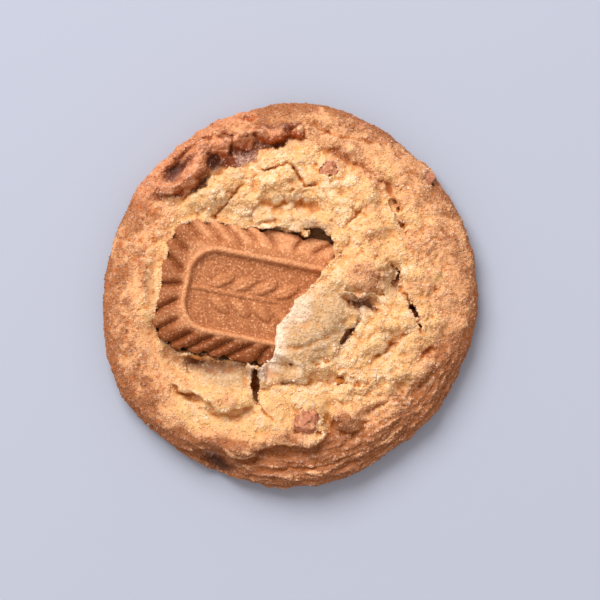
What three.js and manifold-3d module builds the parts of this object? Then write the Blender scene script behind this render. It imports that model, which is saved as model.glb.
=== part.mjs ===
// Caramel biscuit cookie: a round, thick baked cookie with a ribbed caramelised biscuit pressed into its top.
// A torn flap of dough lies over the biscuit's right half, and chips of broken biscuit show in the crust.
// Units are millimetres, +Z is up, and the origin is at the middle of the flat underside.
import * as THREE from "three";
import { mergeGeometries, mergeVertices } from "three/addons/utils/BufferGeometryUtils.js";
import Module from "manifold-3d";

const wasm = await Module();
wasm.setup();

// Driving dimensions of the dough
const COOKIE_RADIUS = 46.3;
const SHOULDER_HEIGHT = 11.2; // the level of the top before any lump or hollow
const SHOULDER_WIDTH = 14; // how far in from the edge the top starts to fall
const SHOULDER_FULLNESS = 0.85; // under 1 makes the fall to the edge rounder than a quarter ellipse
const EDGE_HEIGHT = 3.2; // where the edge stands out furthest
const BASE_INSET = 1.6; // how far the underside lies inside the widest line
const TOP_CELLS = 58; // cells across the top of the mesh
const EDGE_RELIEF = 0.4; // share of the lumps and hollows that is left at the edge
const SIDE_CELLS = 2;
const STEP_FACE = 2.6; // how wide the face of a stepped layer is, seen from above
const SHOULDER_SHARE = 0.67; // share of the mesh rings that lie inside the shoulder

// The outline wavers: harmonic number, size and the direction of its peak in degrees
const WAVER = [
  [1, 0.6, -143],
  [2, 0.8, 59],
  [3, 0.45, -24],
  [4, 0.25, 6],
  [5, 0.25, -1],
  [6, 0.2, 29],
];

// Driving dimensions of the pressed-in biscuit
const BISCUIT = { length: 60, width: 33.2, thick: 6.2, corner: 8.5 };
const BISCUIT_PLACE = { x: -3, y: -1.4, base: 5.0, turn: -11.2, pitch: 3.0, roll: -1.4 };
const PANEL = { length: 44.8, width: 18.6, corner: 6, shift: -0.65, depth: 1.0 }; // shift is along y
const BORDER = { width: 1.5, lift: 0.4 };
const SCALLOP = { pitch: 5.7, depth: 0.8, samples: 4, phase: 0.6 };
const RIB_GROOVE = { halfLength: 3.2, halfWidth: 1.2, depth: 1.1, lean: 38, inset: 3.5 };
const EAR = {
  pairs: 6,
  first: -14.5,
  spacing: 5.2,
  spread: 2.9,
  splay: 34,
  grain: [3.3, 1.5, 1.0], // half sizes
  stem: [15, 0.6, 0.6],
};

const CLEARANCE = 0.35; // between the dough and each piece that sits in it
const SKY = 30; // higher than anything on the cookie

// Tools for shapes
const radians = THREE.MathUtils.degToRad;

function solidOf(geometry) {
  const bare = geometry.clone();
  bare.deleteAttribute("normal");
  bare.deleteAttribute("uv");
  const merged = mergeVertices(bare, 1e-4);
  return new wasm.Manifold(
    new wasm.Mesh({
      numProp: 3,
      vertProperties: new Float32Array(merged.attributes.position.array),
      triVerts: new Uint32Array(merged.index.array),
    }),
  );
}

function geometryOf(solid) {
  const mesh = solid.getMesh();
  const geometry = new THREE.BufferGeometry();
  geometry.setAttribute("position", new THREE.BufferAttribute(mesh.vertProperties, 3));
  geometry.setIndex(new THREE.BufferAttribute(mesh.triVerts, 1));
  geometry.computeVertexNormals();
  return geometry;
}

function prism(points, low, high) {
  const shape = new THREE.Shape(points.map(([x, y]) => new THREE.Vector2(x, y)));
  const geometry = new THREE.ExtrudeGeometry(shape, { depth: high - low, bevelEnabled: false });
  return solidOf(geometry.translate(0, 0, low));
}

// Smooth noise from -1 to 1 that is the same on every run
function lattice(i, j, seed) {
  const wave = Math.sin(i * 127.1 + j * 311.7 + seed * 74.7) * 43758.5453;
  return wave - Math.floor(wave);
}

function noise(x, y, seed) {
  const i = Math.floor(x);
  const j = Math.floor(y);
  const u = THREE.MathUtils.smoothstep(x - i, 0, 1);
  const v = THREE.MathUtils.smoothstep(y - j, 0, 1);
  const low = THREE.MathUtils.lerp(lattice(i, j, seed), lattice(i + 1, j, seed), u);
  const high = THREE.MathUtils.lerp(lattice(i, j + 1, seed), lattice(i + 1, j + 1, seed), u);
  return 2 * THREE.MathUtils.lerp(low, high, v) - 1;
}

// Rounded cobbles with creases between them, 1 at a cobble's middle and falling to 0
function cobbles(x, y, size, seed) {
  const wx = (x + 1.6 * noise(x / 5, y / 5, seed + 1)) / size;
  const wy = (y + 1.6 * noise(x / 5, y / 5, seed + 2)) / size;
  let nearest = 9;
  for (let i = Math.floor(wx) - 1; i <= Math.floor(wx) + 1; i++) {
    for (let j = Math.floor(wy) - 1; j <= Math.floor(wy) + 1; j++) {
      const dx = i + 0.15 + 0.7 * lattice(i, j, seed) - wx;
      const dy = j + 0.15 + 0.7 * lattice(j, i, seed + 3) - wy;
      nearest = Math.min(nearest, dx * dx + dy * dy);
    }
  }
  return Math.max(0, 1 - nearest);
}

// An open curve through a few points, walked in short steps
function curveThrough(points, step) {
  const curve = new THREE.SplineCurve(points.map(([x, y]) => new THREE.Vector2(x, y)));
  const count = Math.max(2, Math.round(curve.getLength() / step));
  return curve.getSpacedPoints(count).map((p) => [p.x, p.y]);
}

// A torn edge: the curve with a ragged sideways wander
function tornEdge(points, wander, seed) {
  const line = curveThrough(points, 1.1);
  return line.map(([x, y], k) => {
    const [ax, ay] = line[Math.max(0, k - 1)];
    const [bx, by] = line[Math.min(line.length - 1, k + 1)];
    const along = Math.hypot(bx - ax, by - ay);
    const off = wander * (2 * lattice(k, seed, seed) - 1);
    return [x - ((by - ay) / along) * off, y + ((bx - ax) / along) * off];
  });
}

// Signed distance from a walked curve: positive on the left of its direction
function distanceFrom(line, x, y) {
  let best = Infinity;
  let side = 1;
  for (let k = 0; k + 1 < line.length; k++) {
    const [ax, ay] = line[k];
    const dx = line[k + 1][0] - ax;
    const dy = line[k + 1][1] - ay;
    const t = THREE.MathUtils.clamp(((x - ax) * dx + (y - ay) * dy) / (dx * dx + dy * dy), 0, 1);
    const d = Math.hypot(x - ax - t * dx, y - ay - t * dy);
    if (d < best) {
      best = d;
      side = dx * (y - ay) - dy * (x - ax) < 0 ? -1 : 1;
    }
  }
  return side * best;
}

// Forms of the crust, placed as seen from above
// A swelling, or a hollow where lift is negative, over an oval
const SWELLINGS = [
  { name: "mound under the flap", at: [12, -3], half: [29, 32], turn: 25, lift: 2.0 },
  { name: "browned lump on the flap", at: [17.9, 5.2], half: [6.8, 5.4], turn: -14, lift: 1.9 },
  { name: "knob at that lump's foot", at: [20.8, 1.6], half: [3.2, 2.0], turn: -10, lift: 1.2 },
  { name: "hollow under that lump", at: [17.4, -1.6], half: [5.4, 2.9], turn: 4, lift: -3.2 },
  { name: "pale pocket behind the lump", at: [24.2, 4.6], half: [3.2, 5.4], turn: 12, lift: -2.3 },
  { name: "lump right of the flap", at: [21.5, -7.6], half: [7.5, 5.4], turn: 30, lift: 1.5 },
  { name: "lump at the flap's foot", at: [13, -16], half: [8.5, 5], turn: 32, lift: 1.3 },
  { name: "upper right shoulder", at: [22.5, 13.5], half: [8, 7], turn: -40, lift: 1.6 },
  { name: "top middle lump", at: [-4.5, 28.5], half: [6.5, 4.6], turn: 4, lift: 1.2 },
  { name: "top left lump", at: [-19.5, 23.5], half: [8.5, 5.5], turn: 40, lift: 1.6 },
  { name: "lump above the biscuit", at: [-9.5, 21.5], half: [6.5, 3.8], turn: 8, lift: 1.2 },
  { name: "top right lump", at: [10, 24.5], half: [7.5, 5], turn: -12, lift: 1.3 },
  { name: "lump over the deep gap", at: [12.8, 17.8], half: [5, 4], turn: -50, lift: 1.3 },
  { name: "torn slab under the biscuit", at: [-16.6, -23.2], half: [9.5, 6], turn: -6, lift: 1.3 },
  { name: "hole under the biscuit's corner", at: [-23.6, -16.6], half: [4.2, 2.6], turn: -16, lift: -3.0 },
  { name: "lump by the front chip", at: [14, -31], half: [4.6, 3.4], turn: 6, lift: 1.6 },
  { name: "hollow beside the front chip", at: [9.6, -32.4], half: [3.0, 3.2], turn: 0, lift: -1.2 },
  { name: "lump on the lower right", at: [23, -20], half: [6.5, 4.5], turn: 38, lift: 1.0 },
  { name: "bump on the right rim", at: [36.5, -17], half: [6, 4.5], turn: 60, lift: 0.9 },
  { name: "left shoulder", at: [-35, -5], half: [8, 15], turn: 4, lift: 0.9 },
  { name: "lower left shoulder", at: [-28, -27], half: [9, 6], turn: -44, lift: 1.0 },
  { name: "first caramel pit", at: [-28.3, 30.8], half: [4.4, 4.0], turn: 46, lift: -3.4 },
  { name: "second caramel pit", at: [-17.6, 32.0], half: [4.6, 3.2], turn: 16, lift: -3.2 },
  { name: "third caramel pit", at: [-10.4, 33.8], half: [5.2, 2.8], turn: 10, lift: -2.0 },
  { name: "dark notch in the lower edge", at: [-18.6, -39.8], half: [6.4, 2.6], turn: -24, lift: -2.6 },
];

// A long ridge, or a crease where lift is negative, along a curve
const RIDGES = [
  { name: "flap's spine", through: [[16, 9], [9.5, 0], [4, -9], [-1.5, -17.5]], half: 12, lift: 2.4 },
  {
    name: "arch over the biscuit",
    through: [[-27.5, 15], [-19, 23.5], [-4, 27.5], [9, 25.5], [18, 17]],
    half: 9,
    lift: 1.7,
  },
  { name: "outer arch", through: [[-5, 34], [5, 36.5], [17, 34], [29, 24]], half: 6, lift: 0.8 },
  { name: "right ridge", through: [[29, 10], [31, -1], [28, -12]], half: 6, lift: 1.0 },
  {
    name: "caramel strap",
    through: [[-21.4, 37], [-21.9, 32.6], [-24.2, 28.8], [-28, 26.4], [-32, 26]],
    half: 3.2,
    lift: 2.2,
  },
  {
    name: "seam under the strap",
    through: [[-27, 23], [-22.6, 26], [-20, 28.6], [-17.2, 30.6]],
    half: 2.2,
    lift: -2.0,
  },
  { name: "caramel roll", through: [[-14.5, 37.6], [-9, 39.2], [-4, 39], [3, 40]], half: 2.8, lift: 1.5 },
  {
    name: "seam under the roll",
    through: [[-13.5, 35], [-8.6, 36.9], [-4.4, 36.5], [-0.4, 37.2], [3, 38.2]],
    half: 2.2,
    lift: -1.9,
  },
  {
    name: "outer lip at the caramel",
    through: [[-37, 24], [-32.5, 31], [-24, 38.4], [-12, 42.6]],
    half: 3.4,
    lift: 1.3,
  },
  {
    name: "crease under the upper rim",
    through: [[2.6, 41.6], [6.4, 41], [9.8, 39.6], [13.5, 38.4], [19, 37]],
    half: 2.4,
    lift: -1.3,
  },
  {
    name: "orange groove",
    through: [[9.4, 36], [12.6, 32.9], [18.6, 29.2], [23.4, 25.6]],
    half: 2.6,
    lift: -1.3,
  },
  {
    name: "valley in the arch",
    through: [[-6.5, 22], [-2, 23], [2.6, 22.2], [6.6, 20.8]],
    half: 2.2,
    lift: -1.5,
  },
  { name: "crease in the arch", through: [[-12, 26.6], [-14.6, 24], [-17, 20.4]], half: 2.2, lift: -1.2 },
  {
    name: "crease on its right",
    through: [[13.8, 17.6], [15.8, 19.4], [17.6, 21]],
    half: 1.9,
    lift: -1.2,
  },
  {
    name: "trough below the biscuit",
    through: [[-26, -17.5], [-17, -19], [-8.5, -21]],
    half: 4,
    lift: -1.6,
  },
  {
    name: "crease beside the flap",
    through: [[-7.4, -24], [0, -22.8], [7, -21.8], [13, -22]],
    half: 2.3,
    lift: -1.7,
  },
  {
    name: "fold right of the flap",
    through: [[29.4, -8.8], [25, -11.4], [21, -15]],
    half: 3.0,
    lift: -1.4,
  },
  {
    name: "fold round the lower lump",
    through: [[10.2, -31.6], [12.4, -34], [16, -33.6], [19.4, -30], [24.4, -25.2], [28, -21]],
    half: 2.3,
    lift: -1.5,
  },
  {
    name: "fold on the lower right",
    through: [[16.6, -27.4], [20.4, -24.4], [25, -17.8]],
    half: 2.4,
    lift: -0.9,
  },
  {
    name: "fold near the right rim",
    through: [[35, -13], [32.6, -14.4], [31.4, -17]],
    half: 2.2,
    lift: -1.2,
  },
  { name: "second fold there", through: [[35, -19], [32, -21.8], [30.2, -25.4]], half: 2.2, lift: -1.1 },
  {
    name: "wrinkle in the lower skirt",
    through: [[-7, -42.6], [3, -41.4], [13, -39]],
    half: 2.0,
    lift: -0.7,
  },
  {
    name: "wrinkle on the right",
    through: [[17, -38.6], [25, -34.6], [31, -29.6]],
    half: 2.0,
    lift: -0.8,
  },
];

// A layer of crust whose edge steps down: lifted on the left of the curve, sunk on its right
const STEPS = [
  {
    name: "lip of the lower layer",
    through: [
      [-37, -27.5],
      [-31, -33.5],
      [-26, -36],
      [-20.5, -37.2],
      [-13, -39.7],
      [-5.4, -37.1],
      [4, -36.6],
      [9.6, -32.8],
    ],
    lift: 1.0,
    drop: 1.7,
    fade: 5,
  },
  {
    name: "lip of the torn slab",
    through: [[-28.6, -21.4], [-26, -23.7], [-21.6, -25.2], [-18, -28.4], [-14, -28.2], [-8.8, -26.8]],
    lift: 0.9,
    drop: 1.2,
    fade: 3.5,
  },
  {
    name: "step at the upper right",
    through: [[28.4, 10], [27.2, 16.4], [24.6, 22.6], [20.4, 27.4], [13.6, 32]],
    lift: 0.9,
    drop: 0.9,
    fade: 4.5,
  },
];

// Torn gaps and cracks that cut into the dough: width at the middle and the level of the floor
const CRACKS = [
  {
    name: "tear behind the flap",
    through: [[9.6, -15.2], [12.4, -11.8], [13.6, -9.2], [15.8, -7.4], [16.8, -5], [16.4, -2.2]],
    width: 1.0,
    floor: 9.4,
  },
  {
    name: "branch of that tear",
    through: [[16.6, -2.6], [19, -3.2], [22.4, -4]],
    width: 0.8,
    floor: 8.6,
  },
  {
    name: "gap below the biscuit",
    through: [[-8.3, -16.0], [-9.0, -21.5], [-8.1, -27]],
    width: 2.3,
    floor: 3.6,
  },
  {
    name: "deep gap above the biscuit",
    through: [[3.2, 15.6], [7.0, 14.9], [10.6, 13]],
    width: 3.0,
    floor: 4.4,
  },
  {
    name: "crack on the right",
    through: [[28.4, -0.4], [29.8, -3.6], [31.2, -7], [31.8, -10]],
    width: 0.9,
    floor: 10.0,
  },
  {
    name: "crack in the pale pocket",
    through: [[24.2, 8.2], [26.3, 5.3], [25.4, 2.6], [27.6, 0.4]],
    width: 0.9,
    floor: 7.5,
  },
  {
    name: "crack at the upper right",
    through: [[24.2, 24.2], [25.0, 21.8], [26.8, 20.2]],
    width: 1.0,
    floor: 9.0,
  },
  { name: "crack below that", through: [[25.6, 17.9], [27, 17.2], [28.4, 16.4]], width: 1.0, floor: 9.4 },
];

// The torn edge of the flap over the biscuit, and the far side of the dough that it belongs to
const FLAP_EDGE = [
  [12.4, 19],
  [11.2, 12.4],
  [8.2, 6.4],
  [3.6, 1],
  [0, -3],
  [-2.6, -7],
  [-3.8, -10.4],
  [-4.4, -15],
  [-7.2, -18.4],
];
const FLAP_BEHIND = [
  [4, -40],
  [60, -40],
  [60, 40],
];

// Chips of broken biscuit: place in plan, half sizes, turn, and how far the middle lies below the crust
const CHIPS = [
  { name: "biscuit_chip_front", at: [4.2, -30.6], half: [3.1, 3.6, 2.6], turn: -25, sunk: 0.9, seed: 1 },
  { name: "biscuit_chip_right", at: [33.2, 28.4], half: [3.4, 2.2, 2.2], turn: -48, sunk: 1.0, seed: 2 },
  { name: "biscuit_chip_top", at: [9.2, 30.4], half: [2.4, 2.0, 2.0], turn: 30, sunk: 0.7, seed: 3 },
];

const walkedRidges = RIDGES.map((r) => ({ ...r, line: curveThrough(r.through, 2) }));
const walkedSteps = STEPS.map((s) => ({ ...s, line: curveThrough(s.through, 1.5) }));

function swellingAt(x, y, { at, half, turn, lift }) {
  const c = Math.cos(radians(turn));
  const s = Math.sin(radians(turn));
  const u = ((x - at[0]) * c + (y - at[1]) * s) / half[0];
  const v = ((y - at[1]) * c - (x - at[0]) * s) / half[1];
  return lift * Math.max(0, 1 - u * u - v * v) ** 1.5;
}

function ridgeAt(x, y, { line, half, lift }) {
  const d = Math.abs(distanceFrom(line, x, y)) / half;
  return d < 1 ? lift * (1 - d * d) ** 2 : 0;
}

function stepAt(x, y, { line, lift, drop, fade }) {
  const d = distanceFrom(line, x, y);
  const ends = Math.min(...[line[0], line.at(-1)].map(([ex, ey]) => Math.hypot(x - ex, y - ey)));
  const share = Math.exp(-Math.abs(d) / fade) * THREE.MathUtils.smoothstep(ends - Math.abs(d), 0, 5);
  const up = THREE.MathUtils.smoothstep(d, -STEP_FACE / 2, STEP_FACE / 2);
  return share * THREE.MathUtils.lerp(-drop, lift, up);
}

// How strongly the crust is cobbled: most on the crumbly ring, least on the smooth rim and left side
function roughness(x, y) {
  const out = Math.hypot(x, y) / COOKIE_RADIUS;
  const ring = THREE.MathUtils.smoothstep(1 - out, 0.08, 0.3);
  const left = THREE.MathUtils.smoothstep(x, -38, -8);
  return 0.35 + 0.65 * ring * (0.35 + 0.65 * left);
}

function relief(x, y) {
  let height = 0;
  for (const form of SWELLINGS) height += swellingAt(x, y, form);
  for (const form of walkedRidges) height += ridgeAt(x, y, form);
  for (const form of walkedSteps) height += stepAt(x, y, form);
  const crags = 2.4 * (cobbles(x, y, 7.6, 5) - 0.75) + 0.5 * noise(x / 3.4, y / 3.4, 8);
  return height + roughness(x, y) * crags;
}

// The relief averaged over a mesh cell, so that sharp creases don't turn ragged
function softRelief(x, y) {
  const reach = 0.6;
  const around = [[0, 0], [reach, reach], [reach, -reach], [-reach, reach], [-reach, -reach]];
  return around.reduce((sum, [dx, dy]) => sum + relief(x + dx, y + dy), 0) / around.length;
}

// The dough is a crown, a side and an underside, each bent from a flat or round sheet
function outlineRadius(angle) {
  let radius = COOKIE_RADIUS;
  for (const [count, size, peak] of WAVER) radius += size * Math.cos(count * (angle - radians(peak)));
  return radius;
}

// A point of the unit square moved to the unit disc, with cells of even area
function squareToDisc(a, b) {
  if (a === 0 && b === 0) return [0, 0];
  const quarter = Math.PI / 4;
  if (Math.abs(a) > Math.abs(b)) return [Math.abs(a), (a < 0 ? Math.PI : 0) + quarter * (b / a)];
  return [Math.abs(b), (b < 0 ? -1 : 1) * 2 * quarter - quarter * (a / b)];
}

// The cross-section of the bare dough: share 0 is the middle of the top and 1 its edge
function sectionAt(share, radius) {
  const inner = radius - SHOULDER_WIDTH;
  if (share < SHOULDER_SHARE) return { r: (inner * share) / SHOULDER_SHARE, z: SHOULDER_HEIGHT, slope: 0 };
  const slope = ((share - SHOULDER_SHARE) / (1 - SHOULDER_SHARE)) * (Math.PI / 2);
  const fall = SHOULDER_HEIGHT - EDGE_HEIGHT;
  const z = EDGE_HEIGHT + fall * Math.cos(slope) ** SHOULDER_FULLNESS;
  return { r: inner + SHOULDER_WIDTH * Math.sin(slope), z, slope };
}

// A point on the skin of the dough. On the crown, share runs from the middle to the edge; on the side,
// down runs from the edge to the underside
function crownPoint(share, angle) {
  const [c, s] = [Math.cos(angle), Math.sin(angle)];
  const { r, z, slope } = sectionAt(share, outlineRadius(angle));
  const lift = softRelief(r * c, r * s) * (1 - (1 - EDGE_RELIEF) * Math.sin(slope) ** 2);
  const out = r + lift * Math.sin(slope);
  return [out * c, out * s, z + lift * Math.cos(slope)];
}

function sidePoint(down, angle) {
  const [x, y, z] = crownPoint(1, angle);
  const tuck = 1 - (BASE_INSET * down ** 2) / Math.hypot(x, y);
  return [x * tuck, y * tuck, z * (1 - down)];
}

function bend(geometry, pointAt) {
  const p = geometry.attributes.position;
  for (let i = 0; i < p.count; i++) p.setXYZ(i, ...pointAt(p.getX(i), p.getY(i), p.getZ(i)));
  return geometry;
}

function doughBlank() {
  const around = 4 * TOP_CELLS;
  const step = (2 * Math.PI) / around;
  const snapped = (angle) => ((Math.round(angle / step) + around) % around) * step;
  const crown = bend(new THREE.PlaneGeometry(2, 2, TOP_CELLS, TOP_CELLS), (a, b) => {
    const [share, angle] = squareToDisc(a, b);
    return share > 1 - 1e-6 ? crownPoint(1, snapped(angle)) : crownPoint(share, angle);
  });
  const side = bend(new THREE.CylinderGeometry(1, 1, 1, around, SIDE_CELLS, true), (x, y, z) =>
    sidePoint(0.5 - y, snapped(Math.atan2(-z, x))),
  );
  const base = bend(new THREE.CircleGeometry(1, around).rotateX(Math.PI), (x, y) =>
    Math.hypot(x, y) < 0.5 ? [0, 0, 0] : sidePoint(1, snapped(Math.atan2(y, x))),
  );
  return solidOf(mergeGeometries([crown, side, base]));
}

// A crack: a ragged gap, widest at its middle and closing at both ends
function crackCutter({ through, width, floor }, seed) {
  const line = tornEdge(through, 0.28, seed);
  const last = line.length - 1;
  const sides = [1, -1].map((side) =>
    line.map(([x, y], k) => {
      const [ax, ay] = line[Math.max(0, k - 1)];
      const [bx, by] = line[Math.min(last, k + 1)];
      const along = Math.hypot(bx - ax, by - ay);
      const gape = (width / 2) * (0.18 + 0.82 * Math.sin((Math.PI * k) / last)) * side;
      return [x - ((by - ay) / along) * gape, y + ((bx - ax) / along) * gape];
    }),
  );
  return prism([...sides[1], ...sides[0].reverse()], floor, SKY);
}

// The ribbed biscuit is made flat, with its underside at z = 0, and then laid in its place
// A rounded rectangle, walked in even steps with each point's outward normal
function roundedRectangle(length, width, corner, step) {
  const x = length / 2 - corner;
  const y = width / 2 - corner;
  const path = new THREE.Path();
  path.absarc(x, y, corner, 0, Math.PI / 2);
  path.absarc(-x, y, corner, Math.PI / 2, Math.PI);
  path.absarc(-x, -y, corner, Math.PI, 1.5 * Math.PI);
  path.absarc(x, -y, corner, 1.5 * Math.PI, 2 * Math.PI);
  path.closePath();
  const count = Math.round(path.getLength() / step);
  const points = path.getSpacedPoints(count).slice(0, count);
  return points.map((p, k) => {
    const before = points[(k + count - 1) % count];
    const after = points[(k + 1) % count];
    const along = new THREE.Vector2().subVectors(after, before).normalize();
    return { x: p.x, y: p.y, nx: along.y, ny: -along.x };
  });
}

function perimeter() {
  return 2 * (BISCUIT.length + BISCUIT.width) - (8 - 2 * Math.PI) * BISCUIT.corner;
}

function ribCount() {
  return Math.round(perimeter() / SCALLOP.pitch);
}

// The biscuit's body without its pattern, grown all round and raised by the headroom
function biscuitBlank(grow, headroom) {
  const { length, width, corner } = BISCUIT;
  const walked = roundedRectangle(length, width, corner, perimeter() / ribCount() / SCALLOP.samples);
  const outline = walked.map(({ x, y, nx, ny }, k) => {
    const bulge = Math.abs(Math.sin(Math.PI * (k / SCALLOP.samples - SCALLOP.phase)));
    const out = grow - SCALLOP.depth * (1 - bulge);
    return new THREE.Vector2(x + nx * out, y + ny * out);
  });
  const bevel = 0.9;
  const geometry = new THREE.ExtrudeGeometry(new THREE.Shape(outline), {
    depth: BISCUIT.thick + grow + headroom - 2 * bevel,
    bevelThickness: bevel,
    bevelSize: bevel,
    bevelOffset: -bevel,
    bevelSegments: 1,
    curveSegments: 1,
  });
  return solidOf(geometry.translate(0, 0, bevel - grow));
}

function ring(length, width, corner, thickness, low, high) {
  const flat = (p) => new THREE.Vector2(p.x, p.y);
  const shape = new THREE.Shape(roundedRectangle(length, width, corner, 3).map(flat));
  const inner = roundedRectangle(length - 2 * thickness, width - 2 * thickness, corner - thickness, 3);
  shape.holes.push(new THREE.Path(inner.map(flat)));
  const geometry = new THREE.ExtrudeGeometry(shape, { depth: high - low, bevelEnabled: false });
  return solidOf(geometry.translate(0, 0, low));
}

function ribGrooves() {
  const inset = RIB_GROOVE.inset;
  const count = ribCount();
  const { length, width, corner } = BISCUIT;
  const around = roundedRectangle(length - 2 * inset, width - 2 * inset, corner - inset, 0.25);
  const grooves = [];
  for (let k = 0; k < count; k++) {
    const p = around[Math.round(((k + SCALLOP.phase) * around.length) / count) % around.length];
    // Each groove points inwards, leaning towards the middle line of the biscuit
    const reach = (along) => Math.sign(along) * Math.min(1, Math.abs(along) / 4);
    const lean = radians(RIB_GROOVE.lean);
    const groove = new THREE.OctahedronGeometry(1, 1);
    groove.scale(RIB_GROOVE.halfLength, RIB_GROOVE.halfWidth, RIB_GROOVE.depth);
    groove.rotateZ(Math.atan2(Math.sin(lean) * reach(p.y), Math.cos(lean) * reach(p.x)));
    grooves.push(solidOf(groove.translate(p.x, p.y, BISCUIT.thick)));
  }
  return grooves;
}

// A plain ear of grain in low relief: a stem, pairs of leaning grains and one at the tip
function grainEar(level) {
  const grainAt = (x, y, turn, half) => {
    const grain = new THREE.OctahedronGeometry(1, 1);
    grain.scale(...half);
    grain.rotateZ(turn);
    return solidOf(grain.translate(x, y + PANEL.shift, level));
  };
  const pieces = [grainAt(EAR.first, 0, 0, EAR.stem)];
  for (let k = 0; k < EAR.pairs; k++) {
    for (const side of [1, -1]) {
      const along = EAR.first + k * EAR.spacing;
      pieces.push(grainAt(along, side * EAR.spread, side * radians(EAR.splay), EAR.grain));
    }
  }
  pieces.push(grainAt(EAR.first + EAR.pairs * EAR.spacing - 1.4, 0, 0, EAR.grain));
  return pieces;
}

function biscuitSolid() {
  const { thick } = BISCUIT;
  const floor = thick - PANEL.depth;
  const panel = [PANEL.length, PANEL.width, PANEL.corner];
  const outer = panel.map((size, k) => size + (k < 2 ? 2 : 1) * BORDER.width);
  let solid = biscuitBlank(0, 0);
  for (const groove of ribGrooves()) solid = solid.subtract(groove);
  const inside = roundedRectangle(...panel, 2.5).map((p) => [p.x, p.y + PANEL.shift]);
  solid = solid.subtract(prism(inside, floor, SKY));
  const border = ring(...outer, BORDER.width, floor - 0.5, thick + BORDER.lift);
  solid = solid.add(border.translate([0, PANEL.shift, 0]));
  for (const grain of grainEar(floor)) solid = solid.add(grain);
  return solid;
}

function placeBiscuit(object) {
  const { x, y, base, turn, pitch, roll } = BISCUIT_PLACE;
  object.rotation.set(radians(roll), radians(pitch), radians(turn), "ZYX");
  object.position.set(x, y, base);
  object.updateMatrix();
  return object.matrix;
}

// A chip: a crumbled block with flat broken faces
function chipGeometry({ half, seed }, grow) {
  const geometry = new THREE.IcosahedronGeometry(1, 1);
  const p = geometry.attributes.position;
  for (let i = 0; i < p.count; i++) {
    const v = [p.getX(i), p.getY(i), p.getZ(i)];
    const key = v.map((n) => Math.round(n * 100));
    const wear = 0.86 + 0.22 * lattice(key[0] + seed, key[1] - key[2], seed);
    const square = 1 / Math.max(...v.map(Math.abs)) ** 0.45;
    p.setXYZ(i, ...v.map((n, axis) => n * square * wear * half[axis] + grow * n));
  }
  return geometry;
}

function chipPlace({ at, turn, sunk }) {
  const [x, y] = at;
  const level = crustLevel(x, y) - sunk;
  return new THREE.Matrix4().makeRotationZ(radians(turn)).setPosition(x, y, level);
}

// The crust's height above the base at a place well inside the edge
function crustLevel(x, y) {
  const radius = outlineRadius(Math.atan2(y, x));
  const inner = radius - SHOULDER_WIDTH;
  const out = Math.max(0, Math.hypot(x, y) - inner) / SHOULDER_WIDTH;
  const fall = SHOULDER_HEIGHT - EDGE_HEIGHT;
  return EDGE_HEIGHT + fall * Math.sqrt(1 - out * out) ** SHOULDER_FULLNESS + relief(x, y);
}

// Everything put together
const COLOURS = { dough: 0xdba263, biscuit: 0xb06a3c, chip: 0xb5693f };

function material(color) {
  return new THREE.MeshStandardMaterial({ color, roughness: 0.85, metalness: 0 });
}

const cookie = new THREE.Group();

const biscuit = new THREE.Mesh(geometryOf(biscuitSolid()), material(COLOURS.biscuit));
biscuit.name = "caramel_biscuit";
const biscuitMatrix = placeBiscuit(biscuit);

let dough = doughBlank();
CRACKS.forEach((crack, k) => {
  dough = dough.subtract(crackCutter(crack, k + 1));
});
const edge = roundedRectangle(BISCUIT.length, BISCUIT.width, BISCUIT.corner, 2);
const aroundBiscuit = edge.map(({ x, y, nx, ny }) => [x + nx * CLEARANCE, y + ny * CLEARANCE]);
const flap = prism([...tornEdge(FLAP_EDGE, 0.35, 9), ...FLAP_BEHIND], 0, SKY);
const overBiscuit = prism(aroundBiscuit, BISCUIT.thick / 2, SKY).transform(biscuitMatrix.elements);
dough = dough.subtract(overBiscuit.subtract(flap));
dough = dough.subtract(biscuitBlank(CLEARANCE, CLEARANCE + BORDER.lift).transform(biscuitMatrix.elements));

for (const chip of CHIPS) {
  const place = chipPlace(chip);
  dough = dough.subtract(solidOf(chipGeometry(chip, CLEARANCE).applyMatrix4(place)));
  const mesh = new THREE.Mesh(chipGeometry(chip, 0), material(COLOURS.chip));
  mesh.applyMatrix4(place);
  mesh.name = chip.name;
  cookie.add(mesh);
}

const doughMesh = new THREE.Mesh(geometryOf(dough), material(COLOURS.dough));
doughMesh.name = "baked_dough";
cookie.add(doughMesh, biscuit);

export default cookie;
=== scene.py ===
import math
import random

import bmesh
import bpy
import numpy as np
from mathutils import Matrix, Vector


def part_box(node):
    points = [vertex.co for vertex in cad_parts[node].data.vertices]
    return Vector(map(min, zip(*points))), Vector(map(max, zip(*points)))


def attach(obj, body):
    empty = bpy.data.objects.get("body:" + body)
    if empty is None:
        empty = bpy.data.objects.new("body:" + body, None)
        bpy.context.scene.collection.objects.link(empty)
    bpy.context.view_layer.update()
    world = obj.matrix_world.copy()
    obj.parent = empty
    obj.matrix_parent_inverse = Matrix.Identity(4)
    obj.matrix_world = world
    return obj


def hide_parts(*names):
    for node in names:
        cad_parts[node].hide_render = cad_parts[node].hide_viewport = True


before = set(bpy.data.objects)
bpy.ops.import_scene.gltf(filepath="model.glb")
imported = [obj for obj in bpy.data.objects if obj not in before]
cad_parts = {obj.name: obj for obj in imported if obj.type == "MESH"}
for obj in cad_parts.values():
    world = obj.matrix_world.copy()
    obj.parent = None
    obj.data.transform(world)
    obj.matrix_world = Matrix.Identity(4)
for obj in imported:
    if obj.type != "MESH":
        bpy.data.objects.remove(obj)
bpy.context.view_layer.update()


# Camera. The cookie is seen from straight above, from far enough away that its sides hardly show.
# The view is as wide as the photograph's at half the height of the cookie.
MM = 0.001
VIEW_CENTRE = (2.2 * MM, -1.2 * MM)
VIEW_WIDTH = 146.7 * MM
VIEW_LEVEL = 6 * MM
CAMERA_HEIGHT = 900 * MM

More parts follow.
